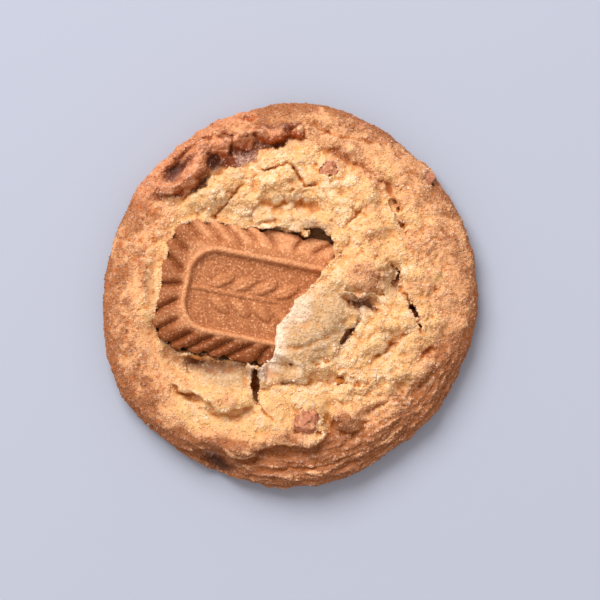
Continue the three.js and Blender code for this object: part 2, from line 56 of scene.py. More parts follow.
camera_data = bpy.data.cameras.new("camera")
camera_data.sensor_width = 36
camera_data.lens = camera_data.sensor_width * (CAMERA_HEIGHT - VIEW_LEVEL) / VIEW_WIDTH
camera = bpy.data.objects.new("camera", camera_data)
camera.location = (*VIEW_CENTRE, CAMERA_HEIGHT)
bpy.context.collection.objects.link(camera)
bpy.context.scene.camera = camera
bpy.context.scene.view_settings.view_transform = "Standard"


# Light. A large soft window lies beyond the top left of the view, and pale walls fill the shadows
# from all round.
KEY_AZIMUTH = 118
KEY_ELEVATION = 47
KEY_DISTANCE = 1700 * MM
KEY_SIZE = 1150 * MM
KEY_POWER = 36
KEY_COLOUR = (1.0, 0.97, 0.95)
FILL_COLOUR = (1.0, 0.925, 0.895)
FILL_STRENGTH = 0.70

key_data = bpy.data.lights.new("window", "AREA")
key_data.shape = "DISK"
key_data.size = KEY_SIZE
key_data.energy = KEY_POWER
key_data.color = KEY_COLOUR
key = bpy.data.objects.new("window", key_data)
towards_key = Vector((
    math.cos(math.radians(KEY_AZIMUTH)) * math.cos(math.radians(KEY_ELEVATION)),
    math.sin(math.radians(KEY_AZIMUTH)) * math.cos(math.radians(KEY_ELEVATION)),
    math.sin(math.radians(KEY_ELEVATION)),
))
key.location = towards_key * KEY_DISTANCE
key.rotation_euler = towards_key.to_track_quat("Z", "Y").to_euler()
bpy.context.collection.objects.link(key)

world = bpy.data.worlds.new("pale room")
world.use_nodes = True
world.node_tree.nodes["Background"].inputs["Color"].default_value = (*FILL_COLOUR, 1)
world.node_tree.nodes["Background"].inputs["Strength"].default_value = FILL_STRENGTH
bpy.context.scene.world = world


# Floor. A plain pale sheet, wide enough to reach past every view.
FLOOR_SIZE = 6.0
FLOOR_COLOUR = (0.388, 0.423, 0.512)

floor_mesh = bpy.data.meshes.new("floor")
shape = bmesh.new()
bmesh.ops.create_grid(shape, x_segments=1, y_segments=1, size=FLOOR_SIZE / 2)
shape.to_mesh(floor_mesh)
shape.free()
floor = bpy.data.objects.new("floor", floor_mesh)
bpy.context.collection.objects.link(floor)
floor_material = bpy.data.materials.new("pale floor")
floor_material.use_nodes = True
floor_material.node_tree.nodes["Principled BSDF"].inputs["Base Color"].default_value = (*FLOOR_COLOUR, 1)
floor_material.node_tree.nodes["Principled BSDF"].inputs["Roughness"].default_value = 0.9
floor_material.node_tree.nodes["Principled BSDF"].inputs["Specular IOR Level"].default_value = 0.1
floor_mesh.materials.append(floor_material)


# Ribbed biscuit. A thin, hard biscuit of dark sugar dough, pressed in a mould that leaves ribs round its
# edge, a raised border and a sunken panel with a plain ear of grain. It is baked dry and then pushed into
# the soft dough.
BISCUIT_LENGTH = 60.0
BISCUIT_WIDTH = 33.2
BISCUIT_THICK = 6.2
BISCUIT_CORNER = 8.5
BISCUIT_AT = (-3.0, -1.4, 5.0)
BISCUIT_TURN = -11.2
BISCUIT_PITCH = 3.0
BISCUIT_ROLL = -1.4
BISCUIT_VOXEL = 0.25
EDGE_ROUND = 1.6
EDGE_FALL = 1.5
PANEL = (44.8, 18.6, 6.0)
PANEL_SHIFT = -0.65
PANEL_DEPTH = 1.05
PANEL_SLOPE = 0.45
BORDER_WIDTH = 1.5
BORDER_LIFT = 0.6
RIB_PITCH = 5.7
RIB_PHASE = 0.6
SCALLOP_DEPTH = 1.0
SCALLOP_STEPS = 12
GROOVE_INSET = 3.5
RIB_HALF = 1.7
GROOVE_IN = 3.3
GROOVE_OUT = 5.6
GROOVE_DEPTH = 1.6
GROOVE_LEAN = 38
EAR_START = -14.5
EAR_PAIRS = 6
EAR_SPACING = 5.2
EAR_SPREAD = 2.9
EAR_SPLAY = 34
EAR_GRAIN = (3.3, 1.5, 1.0)
EAR_STEM = (15.0, 0.7, 0.6)

biscuit_place = (
    Matrix.Translation(BISCUIT_AT)
    @ Matrix.Rotation(math.radians(BISCUIT_TURN), 4, "Z")
    @ Matrix.Rotation(math.radians(BISCUIT_PITCH), 4, "Y")
    @ Matrix.Rotation(math.radians(BISCUIT_ROLL), 4, "X")
)


def moved(places, matrix):
    """The places, one a row, after a matrix."""
    turn = np.array(matrix.to_3x3())
    return places @ turn.T + np.array(matrix.translation)


def read_places(mesh):
    """A mesh's vertices in millimetres, one a row."""
    places = np.empty(len(mesh.vertices) * 3)
    mesh.vertices.foreach_get("co", places)
    return places.reshape(-1, 3) / MM


def read_normals(mesh):
    """A mesh's vertex normals, one a row."""
    normals = np.empty(len(mesh.vertices) * 3)
    mesh.vertex_normals.foreach_get("vector", normals)
    return normals.reshape(-1, 3)


def write_places(mesh, places):
    """Moves a mesh's vertices to the places, given in millimetres."""
    mesh.vertices.foreach_set("co", (places * MM).ravel())
    mesh.update()


def write_mask(mesh, name, values):
    """Stores a value for each vertex, from 0 to 1, which the material reads by name."""
    mask = mesh.attributes.new(name, "FLOAT", "POINT")
    mask.data.foreach_set("value", np.clip(values, 0, 1))


def fixed(obj):
    """Makes an object's modifiers part of its mesh."""
    depsgraph = bpy.context.evaluated_depsgraph_get()
    mesh = bpy.data.meshes.new_from_object(obj.evaluated_get(depsgraph))
    obj.modifiers.clear()
    spare = obj.data
    obj.data = mesh
    bpy.data.meshes.remove(spare)
    return obj


def smoothed_places(obj, rounds):
    """Where an object's vertices would lie after so many rounds of smoothing."""
    modifier = obj.modifiers.new("smooth", "SMOOTH")
    modifier.iterations = rounds
    depsgraph = bpy.context.evaluated_depsgraph_get()
    places = read_places(obj.evaluated_get(depsgraph).data)
    obj.modifiers.remove(modifier)
    return places


def sunken(obj, rounds):
    """How far each of an object's vertices lies below its smoothed surroundings."""
    settled = smoothed_places(obj, rounds)
    return ((settled - read_places(obj.data)) * read_normals(obj.data)).sum(axis=1)


dice = np.random.default_rng(11)
SHUFFLE = dice.permutation(256)
SLOPES = dice.normal(size=(256, 3))
SLOPES /= np.linalg.norm(SLOPES, axis=1)[:, None]


def drawn(cell):
    """A fixed random number from 0 to 255 for each cell of a lattice."""
    first = SHUFFLE[cell[:, 0] % 256]
    second = SHUFFLE[(first + cell[:, 1]) % 256]
    return SHUFFLE[(second + cell[:, 2]) % 256]


def waves(places):
    """Smooth noise from about -1 to 1, in waves about 1 long."""
    cell = np.floor(places).astype(int)
    part = places - cell
    fade = part * part * part * (part * (part * 6 - 15) + 10)
    total = np.zeros(len(places))
    for corner in np.ndindex(2, 2, 2):
        corner = np.array(corner)
        share = np.where(corner == 1, fade, 1 - fade).prod(axis=1)
        total += share * (SLOPES[drawn(cell + corner)] * (part - corner)).sum(axis=1)
    return total * 1.5


def clouds(places, size, seed, octaves=3):
    """Noise from about -1 to 1, with lumps of about the given size and smaller ones on them."""
    shift = np.array((17.3, 31.1, 5.7)) * seed
    return sum(waves(places * 2.0 ** k / size + shift * (k + 1)) / 2.0 ** k for k in range(octaves))


def ramp(values, low, high):
    """A smooth rise from 0 at low to 1 at high."""
    t = np.clip((values - low) / (high - low), 0, 1)
    return t * t * (3 - 2 * t)


def rounded_inset(x, y, length, width, corner):
    """How far inside the edge of a rounded rectangle each point lies."""
    over_x = np.abs(x) - (length / 2 - corner)
    over_y = np.abs(y) - (width / 2 - corner)
    past = np.hypot(np.maximum(over_x, 0), np.maximum(over_y, 0))
    return corner - past - np.minimum(np.maximum(over_x, over_y), 0)


def rounded_walk(length, width, corner, count):
    """Places in even steps round a rounded rectangle, from its right end, each with its outward direction."""
    straight_x = length - 2 * corner
    straight_y = width - 2 * corner
    arc = corner * math.pi / 2
    pieces = [
        (arc, (straight_x / 2, straight_y / 2), 0),
        (straight_x, (straight_x / 2, width / 2), 90),
        (arc, (-straight_x / 2, straight_y / 2), 90),
        (straight_y, (-length / 2, straight_y / 2), 180),
        (arc, (-straight_x / 2, -straight_y / 2), 180),
        (straight_x, (-straight_x / 2, -width / 2), 270),
        (arc, (straight_x / 2, -straight_y / 2), 270),
        (straight_y, (length / 2, -straight_y / 2), 360),
    ]
    around = sum(piece[0] for piece in pieces)
    walk = []
    for k in range(count):
        way = around * k / count
        for index, (run, (x, y), start) in enumerate(pieces):
            if way <= run:
                break
            way -= run
        angle = math.radians(start)
        if index % 2 == 0:
            angle += way / corner
            walk.append((x + corner * math.cos(angle), y + corner * math.sin(angle), angle))
        else:
            walk.append((x - way * math.sin(angle), y + way * math.cos(angle), angle))
    return walk


biscuit_around = 2 * (BISCUIT_LENGTH + BISCUIT_WIDTH) - (8 - 2 * math.pi) * BISCUIT_CORNER
rib_count = round(biscuit_around / RIB_PITCH)


def oval(x, y, centre, angle, half):
    """Squared distance from a turned oval's middle, 1 at its edge, and the places along and across it."""
    c, s = math.cos(angle), math.sin(angle)
    along = (x - centre[0]) * c + (y - centre[1]) * s
    across = (y - centre[1]) * c - (x - centre[0]) * s
    return (along / half[0]) ** 2 + (across / half[1]) ** 2, along, across


def rib_lines():
    """Each groove between two ribs, as the place of its inner end and its direction outwards."""
    steps = 10
    walk = rounded_walk(
        BISCUIT_LENGTH - 2 * GROOVE_INSET, BISCUIT_WIDTH - 2 * GROOVE_INSET, BISCUIT_CORNER - GROOVE_INSET,
        rib_count * steps)
    lean = math.radians(GROOVE_LEAN)
    lines = []
    for k in range(rib_count):
        gx, gy = walk[round((k + RIB_PHASE) * steps) % len(walk)][:2]
        # The ribs fan out: each leans towards the nearer end and the nearer side
        reach_x = math.copysign(min(1, abs(gx) / 4), gx)
        reach_y = math.copysign(min(1, abs(gy) / 4), gy)
        angle = math.atan2(math.sin(lean) * reach_y, math.cos(lean) * reach_x)
        lines.append((gx, gy, math.cos(angle), math.sin(angle)))
    return lines


def rib_grooves(x, y):
    """Depth of the grooves between the ribs, from 0 to 1, and how near the top of a rib each place is."""
    depth = np.zeros_like(x)
    nearest = np.zeros_like(x)
    for gx, gy, ux, uy in rib_lines():
        along = (x - gx) * ux + (y - gy) * uy
        across = np.abs((y - gy) * ux - (x - gx) * uy)
        reach = GROOVE_IN - 1.9 * (gy > 8 and gx > -12)
        end = ramp(along, -reach - 0.5, -reach + 1.8) * ramp(-along, -GROOVE_OUT - 1, -GROOVE_OUT)
        side = np.clip(1 - across / RIB_HALF, 0, 1)
        nearest = np.maximum(nearest, end * side)
        depth = np.maximum(depth, end * side ** 2.2)
    return depth, 1 - nearest


def grain_ear(x, y):
    """Height of the ear of grain above the panel."""
    away, along, across = oval(x, y, (EAR_START, 0), 0, EAR_STEM[:2])
    height = EAR_STEM[2] * np.sqrt(np.clip(1 - away, 0, 1))
    grains = [(EAR_START + EAR_PAIRS * EAR_SPACING - 1.4, 0, 0)]
    for k in range(EAR_PAIRS):
        for side in (1, -1):
            grains.append((EAR_START + k * EAR_SPACING, side * EAR_SPREAD, side * math.radians(EAR_SPLAY)))
    for gx, gy, angle in grains:
        away, along, across = oval(x, y, (gx, gy), angle, EAR_GRAIN[:2])
        kernel = EAR_GRAIN[2] * np.clip(1 - away, 0, 1) ** 0.6
        kernel -= 0.22 * np.exp(-(across / 0.28) ** 2) * ramp(1 - away, 0.1, 0.5)
        height = np.maximum(height, kernel)
    return height


def biscuit_relief(x, y):
    """Height of the pressed pattern above the biscuit's plain top, and how far each point is into the panel."""
    inset = rounded_inset(x, y, BISCUIT_LENGTH, BISCUIT_WIDTH, BISCUIT_CORNER)
    into = rounded_inset(x, y - PANEL_SHIFT, *PANEL)
    half = BORDER_WIDTH / 2
    border = BORDER_LIFT * np.clip(1 - ((into + half) / half) ** 2, 0, 1) ** 0.8
    panel = PANEL_DEPTH * ramp(into, -0.25, PANEL_SLOPE)
    rim = ramp(-into, BORDER_WIDTH - 0.5, BORDER_WIDTH + 0.3)
    cut, crown = rib_grooves(x, y)
    shallow = 1 - 0.35 * ramp(y, 7, 9)
    grooves = (GROOVE_DEPTH * cut * shallow - 0.3 * crown) * rim
    fall = EDGE_FALL * np.clip(1 - inset / 6.5, 0, 1) ** 1.2
    ear = grain_ear(x, y - PANEL_SHIFT) * ramp(into, 0.2, 1.2)
    return border - panel - grooves - fall + ear, into


biscuit_mesh = bpy.data.meshes.new("pressed_biscuit")
shape = bmesh.new()
outline = bmesh.ops.create_circle(shape, segments=rib_count * SCALLOP_STEPS, radius=1, cap_ends=True)["verts"]
walk = rounded_walk(BISCUIT_LENGTH, BISCUIT_WIDTH, BISCUIT_CORNER, rib_count * SCALLOP_STEPS)
outline.sort(key=lambda v: math.atan2(v.co.y, v.co.x) % (2 * math.pi))
for k, (vertex, (x, y, angle)) in enumerate(zip(outline, walk)):
    cut, crown = rib_grooves(np.array([x]), np.array([y]))
    notch = SCALLOP_DEPTH * (0.6 * cut[0] + 0.7 * (1 - crown[0]))
    vertex.co = ((x - notch * math.cos(angle)) * MM, (y - notch * math.sin(angle)) * MM, 0)
top = bmesh.ops.extrude_face_region(shape, geom=shape.faces[:])["geom"]
top_vertices = [part for part in top if isinstance(part, bmesh.types.BMVert)]
bmesh.ops.translate(shape, verts=top_vertices, vec=(0, 0, BISCUIT_THICK * MM))
bmesh.ops.recalc_face_normals(shape, faces=shape.faces)
shape.to_mesh(biscuit_mesh)
shape.free()
biscuit = bpy.data.objects.new("pressed_biscuit", biscuit_mesh)
bpy.context.collection.objects.link(biscuit)
remesh = biscuit.modifiers.new("even mesh", "REMESH")
remesh.mode = "VOXEL"
remesh.voxel_size = BISCUIT_VOXEL * MM
fixed(biscuit)

places = read_places(biscuit.data)
normals = read_normals(biscuit.data)
x, y, z = places.T
inset = rounded_inset(x, y, BISCUIT_LENGTH, BISCUIT_WIDTH, BISCUIT_CORNER)
upper = ramp(z, BISCUIT_THICK - 0.6, BISCUIT_THICK - 0.2)
crust = np.clip(EDGE_ROUND - inset, 0, EDGE_ROUND)
fall = EDGE_ROUND - np.sqrt(np.clip(EDGE_ROUND ** 2 - crust ** 2, 0, None))
wall = z * (1 - EDGE_ROUND / BISCUIT_THICK)
relief, into = biscuit_relief(x, y)
rough = 0.10 * clouds(places, 2.6, 1) + 0.07 * clouds(places, 0.7, 2)
pores = ramp(clouds(places, 0.9, 3, 2), 0.42, 0.75)
z_top = BISCUIT_THICK - fall + relief + rough - 0.16 * pores
places[:, 2] = wall * (1 - upper) + z_top * upper
places += normals * (0.10 * clouds(places, 0.8, 4))[:, None] * (1 - upper)[:, None] * ramp(z, 0.3, 1)[:, None]
write_places(biscuit.data, places)
places = 0.75 * places + 0.25 * smoothed_places(biscuit, 1)
# Where the grooves lie, for the painted shade in them.
groove = rib_grooves(x, y)[0] ** 1.3 * ramp(-into, 1.2, 2.0) * upper * (1 - 0.45 * ramp(y, 7, 9))
write_mask(biscuit.data, "groove", groove)
write_mask(biscuit.data, "panel", ramp(into, -0.2, 0.6) * upper)
# Painted light and shade on the pressed pattern: its raised parts are painted paler and its low parts darker.
pattern = relief + EDGE_FALL * np.clip(1 - inset / 6.5, 0, 1) ** 1.2
relief_light_and_shade = 0.5 + 0.5 * np.clip(pattern / 0.9, -1, 1) * upper
# A painted highlight along the outer top rim, which faces the light, and darker in a band just inside it.
relief_light_and_shade += 0.22 * ramp(y, 11.4, 13.0) * ramp(-into, 1.2, 2.2)
relief_light_and_shade -= 0.42 * ramp(y, 9.4, 10.4) * (1 - ramp(y, 11.4, 12.8)) * ramp(-into, 1.0, 1.8)
write_mask(biscuit.data, "relief_light_and_shade", relief_light_and_shade)
# Browner on the left and lower rims and on the sides: baked browning, with painted shade on the lower rim,
# which faces away from the light.
browned = np.maximum(ramp(-y, 9.0, 12.5), 0.75 * ramp(-x, 21, 26)) * ramp(-into, 0.6, 2.6)
write_mask(biscuit.data, "browned", np.maximum(browned, 1 - upper))
write_places(biscuit.data, moved(places, biscuit_place))
biscuit.data.polygons.foreach_set("use_smooth", np.ones(len(biscuit.data.polygons), bool))


def grain_group():
    """Fine granules of baked crumb: a height for the bump, and masks for paler tops and larger mottling."""
    group = bpy.data.node_groups.new("baked grain", "ShaderNodeTree")
    group.interface.new_socket("Fineness", in_out="INPUT", socket_type="NodeSocketFloat")
    group.interface.new_socket("Mottling", in_out="INPUT", socket_type="NodeSocketFloat")
    group.interface.new_socket("Height", in_out="OUTPUT", socket_type="NodeSocketFloat")
    group.interface.new_socket("Crests", in_out="OUTPUT", socket_type="NodeSocketFloat")
    group.interface.new_socket("Patches", in_out="OUTPUT", socket_type="NodeSocketFloat")
    nodes, links = group.nodes, group.links
    entry = nodes.new("NodeGroupInput")
    exit_node = nodes.new("NodeGroupOutput")
    coordinates = nodes.new("ShaderNodeTexCoord")
    fine = nodes.new("ShaderNodeTexNoise")
    fine.inputs["Detail"].default_value = 4
    fine.inputs["Roughness"].default_value = 0.72
    grit = nodes.new("ShaderNodeTexVoronoi")
    grit.feature = "F1"
    mottle = nodes.new("ShaderNodeTexNoise")
    mottle.inputs["Detail"].default_value = 3
    mottle.inputs["Roughness"].default_value = 0.6
    patches = nodes.new("ShaderNodeMapRange")
    patches.inputs["From Min"].default_value = 0.34
    patches.inputs["From Max"].default_value = 0.66
    # The grit's places wander with the noise, so that no grain is round
    wandering = nodes.new("ShaderNodeVectorMath")
    wandering.operation = "MULTIPLY_ADD"
    wandering.inputs[1].default_value = (0.0009, 0.0009, 0.0009)
    links.new(coordinates.outputs["Object"], fine.inputs["Vector"])
    links.new(coordinates.outputs["Object"], mottle.inputs["Vector"])
    links.new(fine.outputs["Color"], wandering.inputs[0])
    links.new(coordinates.outputs["Object"], wandering.inputs[2])
    links.new(wandering.outputs["Vector"], grit.inputs["Vector"])
    finer = nodes.new("ShaderNodeMath")
    finer.operation = "MULTIPLY"
    finer.inputs[1].default_value = 0.62
    links.new(entry.outputs["Fineness"], finer.inputs[0])
    links.new(finer.outputs[0], fine.inputs["Scale"])
    links.new(entry.outputs["Fineness"], grit.inputs["Scale"])
    links.new(entry.outputs["Mottling"], mottle.inputs["Scale"])
    links.new(mottle.outputs["Fac"], patches.inputs["Value"])
    height = nodes.new("ShaderNodeMath")
    height.operation = "MULTIPLY_ADD"
    height.inputs[1].default_value = -0.22
    links.new(grit.outputs["Distance"], height.inputs[0])
    links.new(fine.outputs["Fac"], height.inputs[2])
    crests = nodes.new("ShaderNodeMapRange")
    crests.inputs["From Min"].default_value = 0.22
    crests.inputs["From Max"].default_value = 0.56
    links.new(height.outputs[0], crests.inputs["Value"])
    links.new(height.outputs[0], exit_node.inputs["Height"])
    links.new(crests.outputs["Result"], exit_node.inputs["Crests"])
    links.new(patches.outputs["Result"], exit_node.inputs["Patches"])
    return group


baked_grain = grain_group()


def mask_node(nodes, name):
    """A node that reads one of the piece's stored masks."""
    node = nodes.new("ShaderNodeAttribute")
    node.attribute_name = name
    return node.outputs["Fac"]


def blended(nodes, links, amount, under, over, mode="MIX"):
    """A colour laid over another by an amount: a socket, or a fixed value for any of the three."""
    node = nodes.new("ShaderNodeMix")
    node.data_type = "RGBA"
    node.blend_type = mode
    for socket, value in ((node.inputs[0], amount), (node.inputs[6], under), (node.inputs[7], over)):
        if isinstance(value, bpy.types.NodeSocket):
            links.new(value, socket)
        elif isinstance(value, tuple):
            socket.default_value = (*value, 1)
        else:
            socket.default_value = value
    return node.outputs[2]


def reckoned(nodes, links, operation, first, second=0.0, third=0.0):
    """A sum on mask values, kept between 0 and 1."""
    node = nodes.new("ShaderNodeMath")
    node.operation = operation
    node.use_clamp = True
    for socket, value in zip(node.inputs, (first, second, third)):
        if isinstance(value, bpy.types.NodeSocket):
            links.new(value, socket)
        else:
            socket.default_value = value
    return node.outputs[0]


def new_material(name):
    """A material with its nodes and links, and its shader."""
    material = bpy.data.materials.new(name)
    material.use_nodes = True
    nodes, links = material.node_tree.nodes, material.node_tree.links
    return material, nodes, links, nodes["Principled BSDF"]


def placed_grain(nodes, fineness, mottling):
    """The baked grain group with this material's own sizes."""
    node = nodes.new("ShaderNodeGroup")
    node.node_tree = baked_grain
    node.inputs["Fineness"].default_value = fineness
    node.inputs["Mottling"].default_value = mottling
    return node


def bumped(nodes, links, shader, height, depth):
    """Feeds a height to the shader's normal."""
    node = nodes.new("ShaderNodeBump")
    node.inputs["Distance"].default_value = depth
    links.new(height, node.inputs["Height"])
    links.new(node.outputs["Normal"], shader.inputs["Normal"])


BISCUIT_DARK = (0.27, 0.080, 0.024)
BISCUIT_MIDDLE = (0.49, 0.188, 0.073)
BISCUIT_PALE = (0.75, 0.365, 0.175)
BISCUIT_SUGAR = (0.88, 0.58, 0.36)
BISCUIT_BROWNED_AND_SHADED = (0.200, 0.045, 0.006)

biscuit_material, nodes, links, shader = new_material("caramelised biscuit")
grain = placed_grain(nodes, 2700, 420)
tone = reckoned(nodes, links, "MULTIPLY_ADD", grain.outputs["Crests"], 0.46, 0.14)
tone = reckoned(nodes, links, "MULTIPLY_ADD", grain.outputs["Patches"], 0.16, tone)
# The pattern's painted light and shade sets the biscuit's tone too.
tone = reckoned(nodes, links, "MULTIPLY_ADD", mask_node(nodes, "relief_light_and_shade"), 0.55, tone)
tone = reckoned(nodes, links, "SUBTRACT", tone, 0.16)
colour = blended(nodes, links, reckoned(nodes, links, "MULTIPLY", tone, 2.0), BISCUIT_DARK, BISCUIT_MIDDLE)
lighter = reckoned(nodes, links, "MULTIPLY_ADD", tone, 2.0, -1.0)
colour = blended(nodes, links, lighter, colour, BISCUIT_PALE)
# Painted shade: the grooves between the ribs are darkened.
groove_shade = reckoned(nodes, links, "MULTIPLY", mask_node(nodes, "groove"), 0.45)
colour = blended(nodes, links, groove_shade, colour, BISCUIT_DARK)
# Baked browning, and painted shade on the lower rim.
browned = reckoned(nodes, links, "MULTIPLY", mask_node(nodes, "browned"), 0.92)
colour = blended(nodes, links, browned, colour, BISCUIT_BROWNED_AND_SHADED)
speck = reckoned(nodes, links, "MULTIPLY_ADD", grain.outputs["Crests"], 1.8, -1.30)
colour = blended(nodes, links, speck, colour, BISCUIT_SUGAR)
links.new(colour, shader.inputs["Base Color"])
links.new(reckoned(nodes, links, "MULTIPLY_ADD", browned, -0.2, 0.72), shader.inputs["Roughness"])
shader.inputs["Specular IOR Level"].default_value = 0.2
bumped(nodes, links, shader, grain.outputs["Height"], 0.19 * MM)
biscuit.data.materials.append(biscuit_material)
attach(biscuit, "root")
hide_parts("caramel_biscuit")


# Baked dough. One thick round of soft butter dough, browned at its rim and pale where it has torn open. It rose
# round the biscuit in the oven, and a flap of it lies over the biscuit's right half.
DOUGH_VOXEL = 0.32
COOKIE_RADIUS = 46.5

dough_mesh = bpy.data.meshes.new("dough_crust")
shape = bmesh.new()
shape.from_mesh(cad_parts["baked_dough"].data)
bmesh.ops.remove_doubles(shape, verts=shape.verts, dist=0.001 * MM)
shape.to_mesh(dough_mesh)
shape.free()
dough = bpy.data.objects.new("dough_crust", dough_mesh)
bpy.context.collection.objects.link(dough)
remesh = dough.modifiers.new("even mesh", "REMESH")
remesh.mode = "VOXEL"
remesh.voxel_size = DOUGH_VOXEL * MM
fixed(dough)


def near_line(plan, line, reach):
    """Rows within reach of a line, with their distance from it, positive on its left, and share of the way."""
    low = line.min(axis=0) - reach
    high = line.max(axis=0) + reach
    rows = np.nonzero(((plan > low) & (plan < high)).all(axis=1))[0]
    near = plan[rows]
    best = np.full(len(rows), np.inf)
    side = np.ones(len(rows))
    share = np.zeros(len(rows))
    for k, (start, end) in enumerate(zip(line, line[1:])):
        run = end - start
        way = np.clip(((near - start) @ run) / (run @ run), 0, 1)
        off = near - start - way[:, None] * run
        gap = np.hypot(off[:, 0], off[:, 1])
        closer = gap < best
        best[closer] = gap[closer]
        share[closer] = (k + way[closer]) / (len(line) - 1)
        cross = run[0] * off[:, 1] - run[1] * off[:, 0]
        side[closer] = np.where(cross[closer] < 0, -1, 1)
    kept = best < reach
    return rows[kept], (best * side)[kept], share[kept]


def walked(points, step=0.6):
    """Places in short steps along a smooth curve through a few points."""
    points = np.array(points, float)
    padded = np.vstack([2 * points[0] - points[1], points, 2 * points[-1] - points[-2]])
    line = []
    for a, b, c, d in zip(padded, padded[1:], padded[2:], padded[3:]):
        count = max(1, round(np.linalg.norm(c - b) / step))
        t = (np.arange(count) / count)[:, None]
        line.append(0.5 * (2 * b + (c - a) * t + (2 * a - 5 * b + 4 * c - d) * t**2
                           + (3 * b - a - 3 * c + d) * t**3))
    return np.vstack([*line, points[-1]])


def patch(plan, centre, half, turn=0, edge=0.45):
    """1 inside a turned oval, fading to 0 over the outer share of it."""
    away, along, across = oval(plan[:, 0], plan[:, 1], centre, math.radians(turn), half)
    return ramp(1 - np.sqrt(away), 0, edge)


def band(plan, points, half, soft=0.5):
    """1 along a curve, fading to 0 at its half width."""
    rows, gap, share = near_line(plan, walked(points), half)
    values = np.zeros(len(plan))
    values[rows] = ramp(1 - np.abs(gap) / half, 0, soft)
    return values


# The torn edge of the flap, from the deep gap above the biscuit down to the gap below it
FLAP_EDGE = walked([
    (12.4, 19), (11.2, 12.4), (8.2, 6.4), (3.6, 1), (0, -3), (-2.6, -7), (-3.8, -10.4), (-4.4, -15),
    (-7.2, -18.4)])


def in_biscuit(places):
    """The places in the biscuit's own frame, and how far inside its outline each lies."""
    inside = moved(places, biscuit_place.inverted())
    inset = rounded_inset(inside[:, 0], inside[:, 1], BISCUIT_LENGTH, BISCUIT_WIDTH, BISCUIT_CORNER)
    return inside, inset


# The remeshed solid still shows the flat facets that it was cut in. They are smoothed away, but not its
# torn edges
places = read_places(dough.data)
inside, inset = in_biscuit(places)
in_pocket = (inset > -0.9) & (inside[:, 2] > -0.8) & (inside[:, 2] < BISCUIT_THICK + 1.2)
underneath = (places[:, 2] < 0.3) & (np.hypot(places[:, 0], places[:, 1]) < 40)
pocket_floor = (inset > 2.5) & (np.abs(inside[:, 2]) < 0.8) & (inside[:, 0] < 26)
smooth_group = dough.vertex_groups.new(name="crust to smooth")
smooth_group.add(np.nonzero(~in_pocket)[0].tolist(), 1, "REPLACE")
smooth = dough.modifiers.new("smooth facets", "SMOOTH")
smooth.iterations = 10
smooth.vertex_group = "crust to smooth"
fixed(dough)
dough.vertex_groups.clear()
shape = bmesh.new()
shape.from_mesh(dough.data)
plain_faces = [face for face in shape.faces if all(underneath[vertex.index] for vertex in face.verts)
               or all(pocket_floor[vertex.index] for vertex in face.verts)]
bmesh.ops.dissolve_faces(shape, faces=plain_faces, use_verts=True)
bmesh.ops.triangulate(shape, faces=[face for face in shape.faces if len(face.verts) > 4])
shape.to_mesh(dough.data)
shape.free()

# The dough baked on to the biscuit: its lip closes in on the biscuit's sides, but not at the two deep gaps
places = read_places(dough.data)
inside, inset = in_biscuit(places)
plan = places[:, :2]
open_gap = np.maximum.reduce([
    patch(plan, (2.6, 15.8), (13, 4.6), -11, 0.3), patch(plan, (-8.4, -19), (2.8, 7), 0, 0.4),
    patch(plan, (-24.6, -15.6), (3.4, 1.6), -14, 0.5)])
step = 0.05
inset_x = rounded_inset(inside[:, 0] + step, inside[:, 1], BISCUIT_LENGTH, BISCUIT_WIDTH, BISCUIT_CORNER)
inset_y = rounded_inset(inside[:, 0], inside[:, 1] + step, BISCUIT_LENGTH, BISCUIT_WIDTH, BISCUIT_CORNER)
snug = (1 - open_gap) * ramp(-(plan[:, 0] - FLAP_EDGE[:, 0].mean()), 0, 6)
snug_side = np.where(inside[:, 1] < -8, 0.85, 1.0)
low_side = ramp(-inside[:, 1], 9, 14) * ramp(-plan[:, 0], 6.5, 9.5)
excess = np.maximum(inside[:, 2] - (BISCUIT_THICK - 1.5 - 2.4 * low_side), 0)
lowered = excess * np.exp(-(np.minimum(inset, 0) / 4.2) ** 2) * snug * (inset < 2)
inside[:, 2] -= 0.95 * lowered
hug = 1.25 * snug_side * np.exp(-((inset + 0.2) / 1.5) ** 2) * ramp(inside[:, 2], 1.5, 3.5) * snug
inside[:, 0] += hug * (inset_x - inset) / step
inside[:, 1] += hug * (inset_y - inset) / step

# The flap rests on the biscuit: the roof of the hollow under it comes down to the pressed pattern
relief, into = biscuit_relief(inside[:, 0], inside[:, 1])
roof = BISCUIT_THICK + 0.75
laid = BISCUIT_THICK + relief + 0.02
share = np.clip((inside[:, 2] - roof) / 1.6, 0, 1)
lowered = laid + (roof + 1.6 - laid) * share
under_flap = (inset > -0.4) & (inside[:, 2] > roof - 0.35) & (inside[:, 2] < roof + 1.6)
under_flap &= open_gap < 0.5
inside[under_flap, 2] = lowered[under_flap]
write_places(dough.data, moved(inside, biscuit_place))


def middle_and_half(node):
    """A solid's middle and its half sizes, in millimetres."""
    low, high = (np.array(corner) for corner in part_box(node))
    return (low + high) / 2 / MM, (high - low) / 2 / MM


# The torn crack and the gap below the biscuit are narrow, and the dough closes in on the chips too
places = read_places(dough.data)
sway = np.column_stack([clouds(places, 2.4, 41, 2), clouds(places, 2.4, 42, 2)])
NARROWED = [
    ([(16.7, -2.2), (16.3, -4.5), (16.9, -5.6), (15.8, -7), (15.3, -8.2), (13.8, -8.7), (13.4, -10),
      (12.3, -12), (11.2, -13.5), (9.8, -15)], 3.6, 4.2),
    ([(-8.3, -17), (-8.6, -19), (-9.3, -22), (-8.4, -24), (-8, -26.5)], 2.6, 0.6),
]
for points, reach, squeeze in NARROWED:
    line = walked(points)
    rows, gap, share = near_line(places[:, :2], line, reach)
    nearest = line[np.clip(np.round(share * (len(line) - 1)).astype(int), 0, len(line) - 1)]
    away = places[rows, :2] - nearest
    away /= np.maximum(np.hypot(away[:, 0], away[:, 1]), 0.01)[:, None]
    pull = squeeze * (1 - np.abs(gap) / reach) ** 1.4 * (1 + 0.5 * sway[rows, 0])
    places[rows, :2] -= away * np.minimum(pull, np.abs(gap) * 0.85)[:, None]
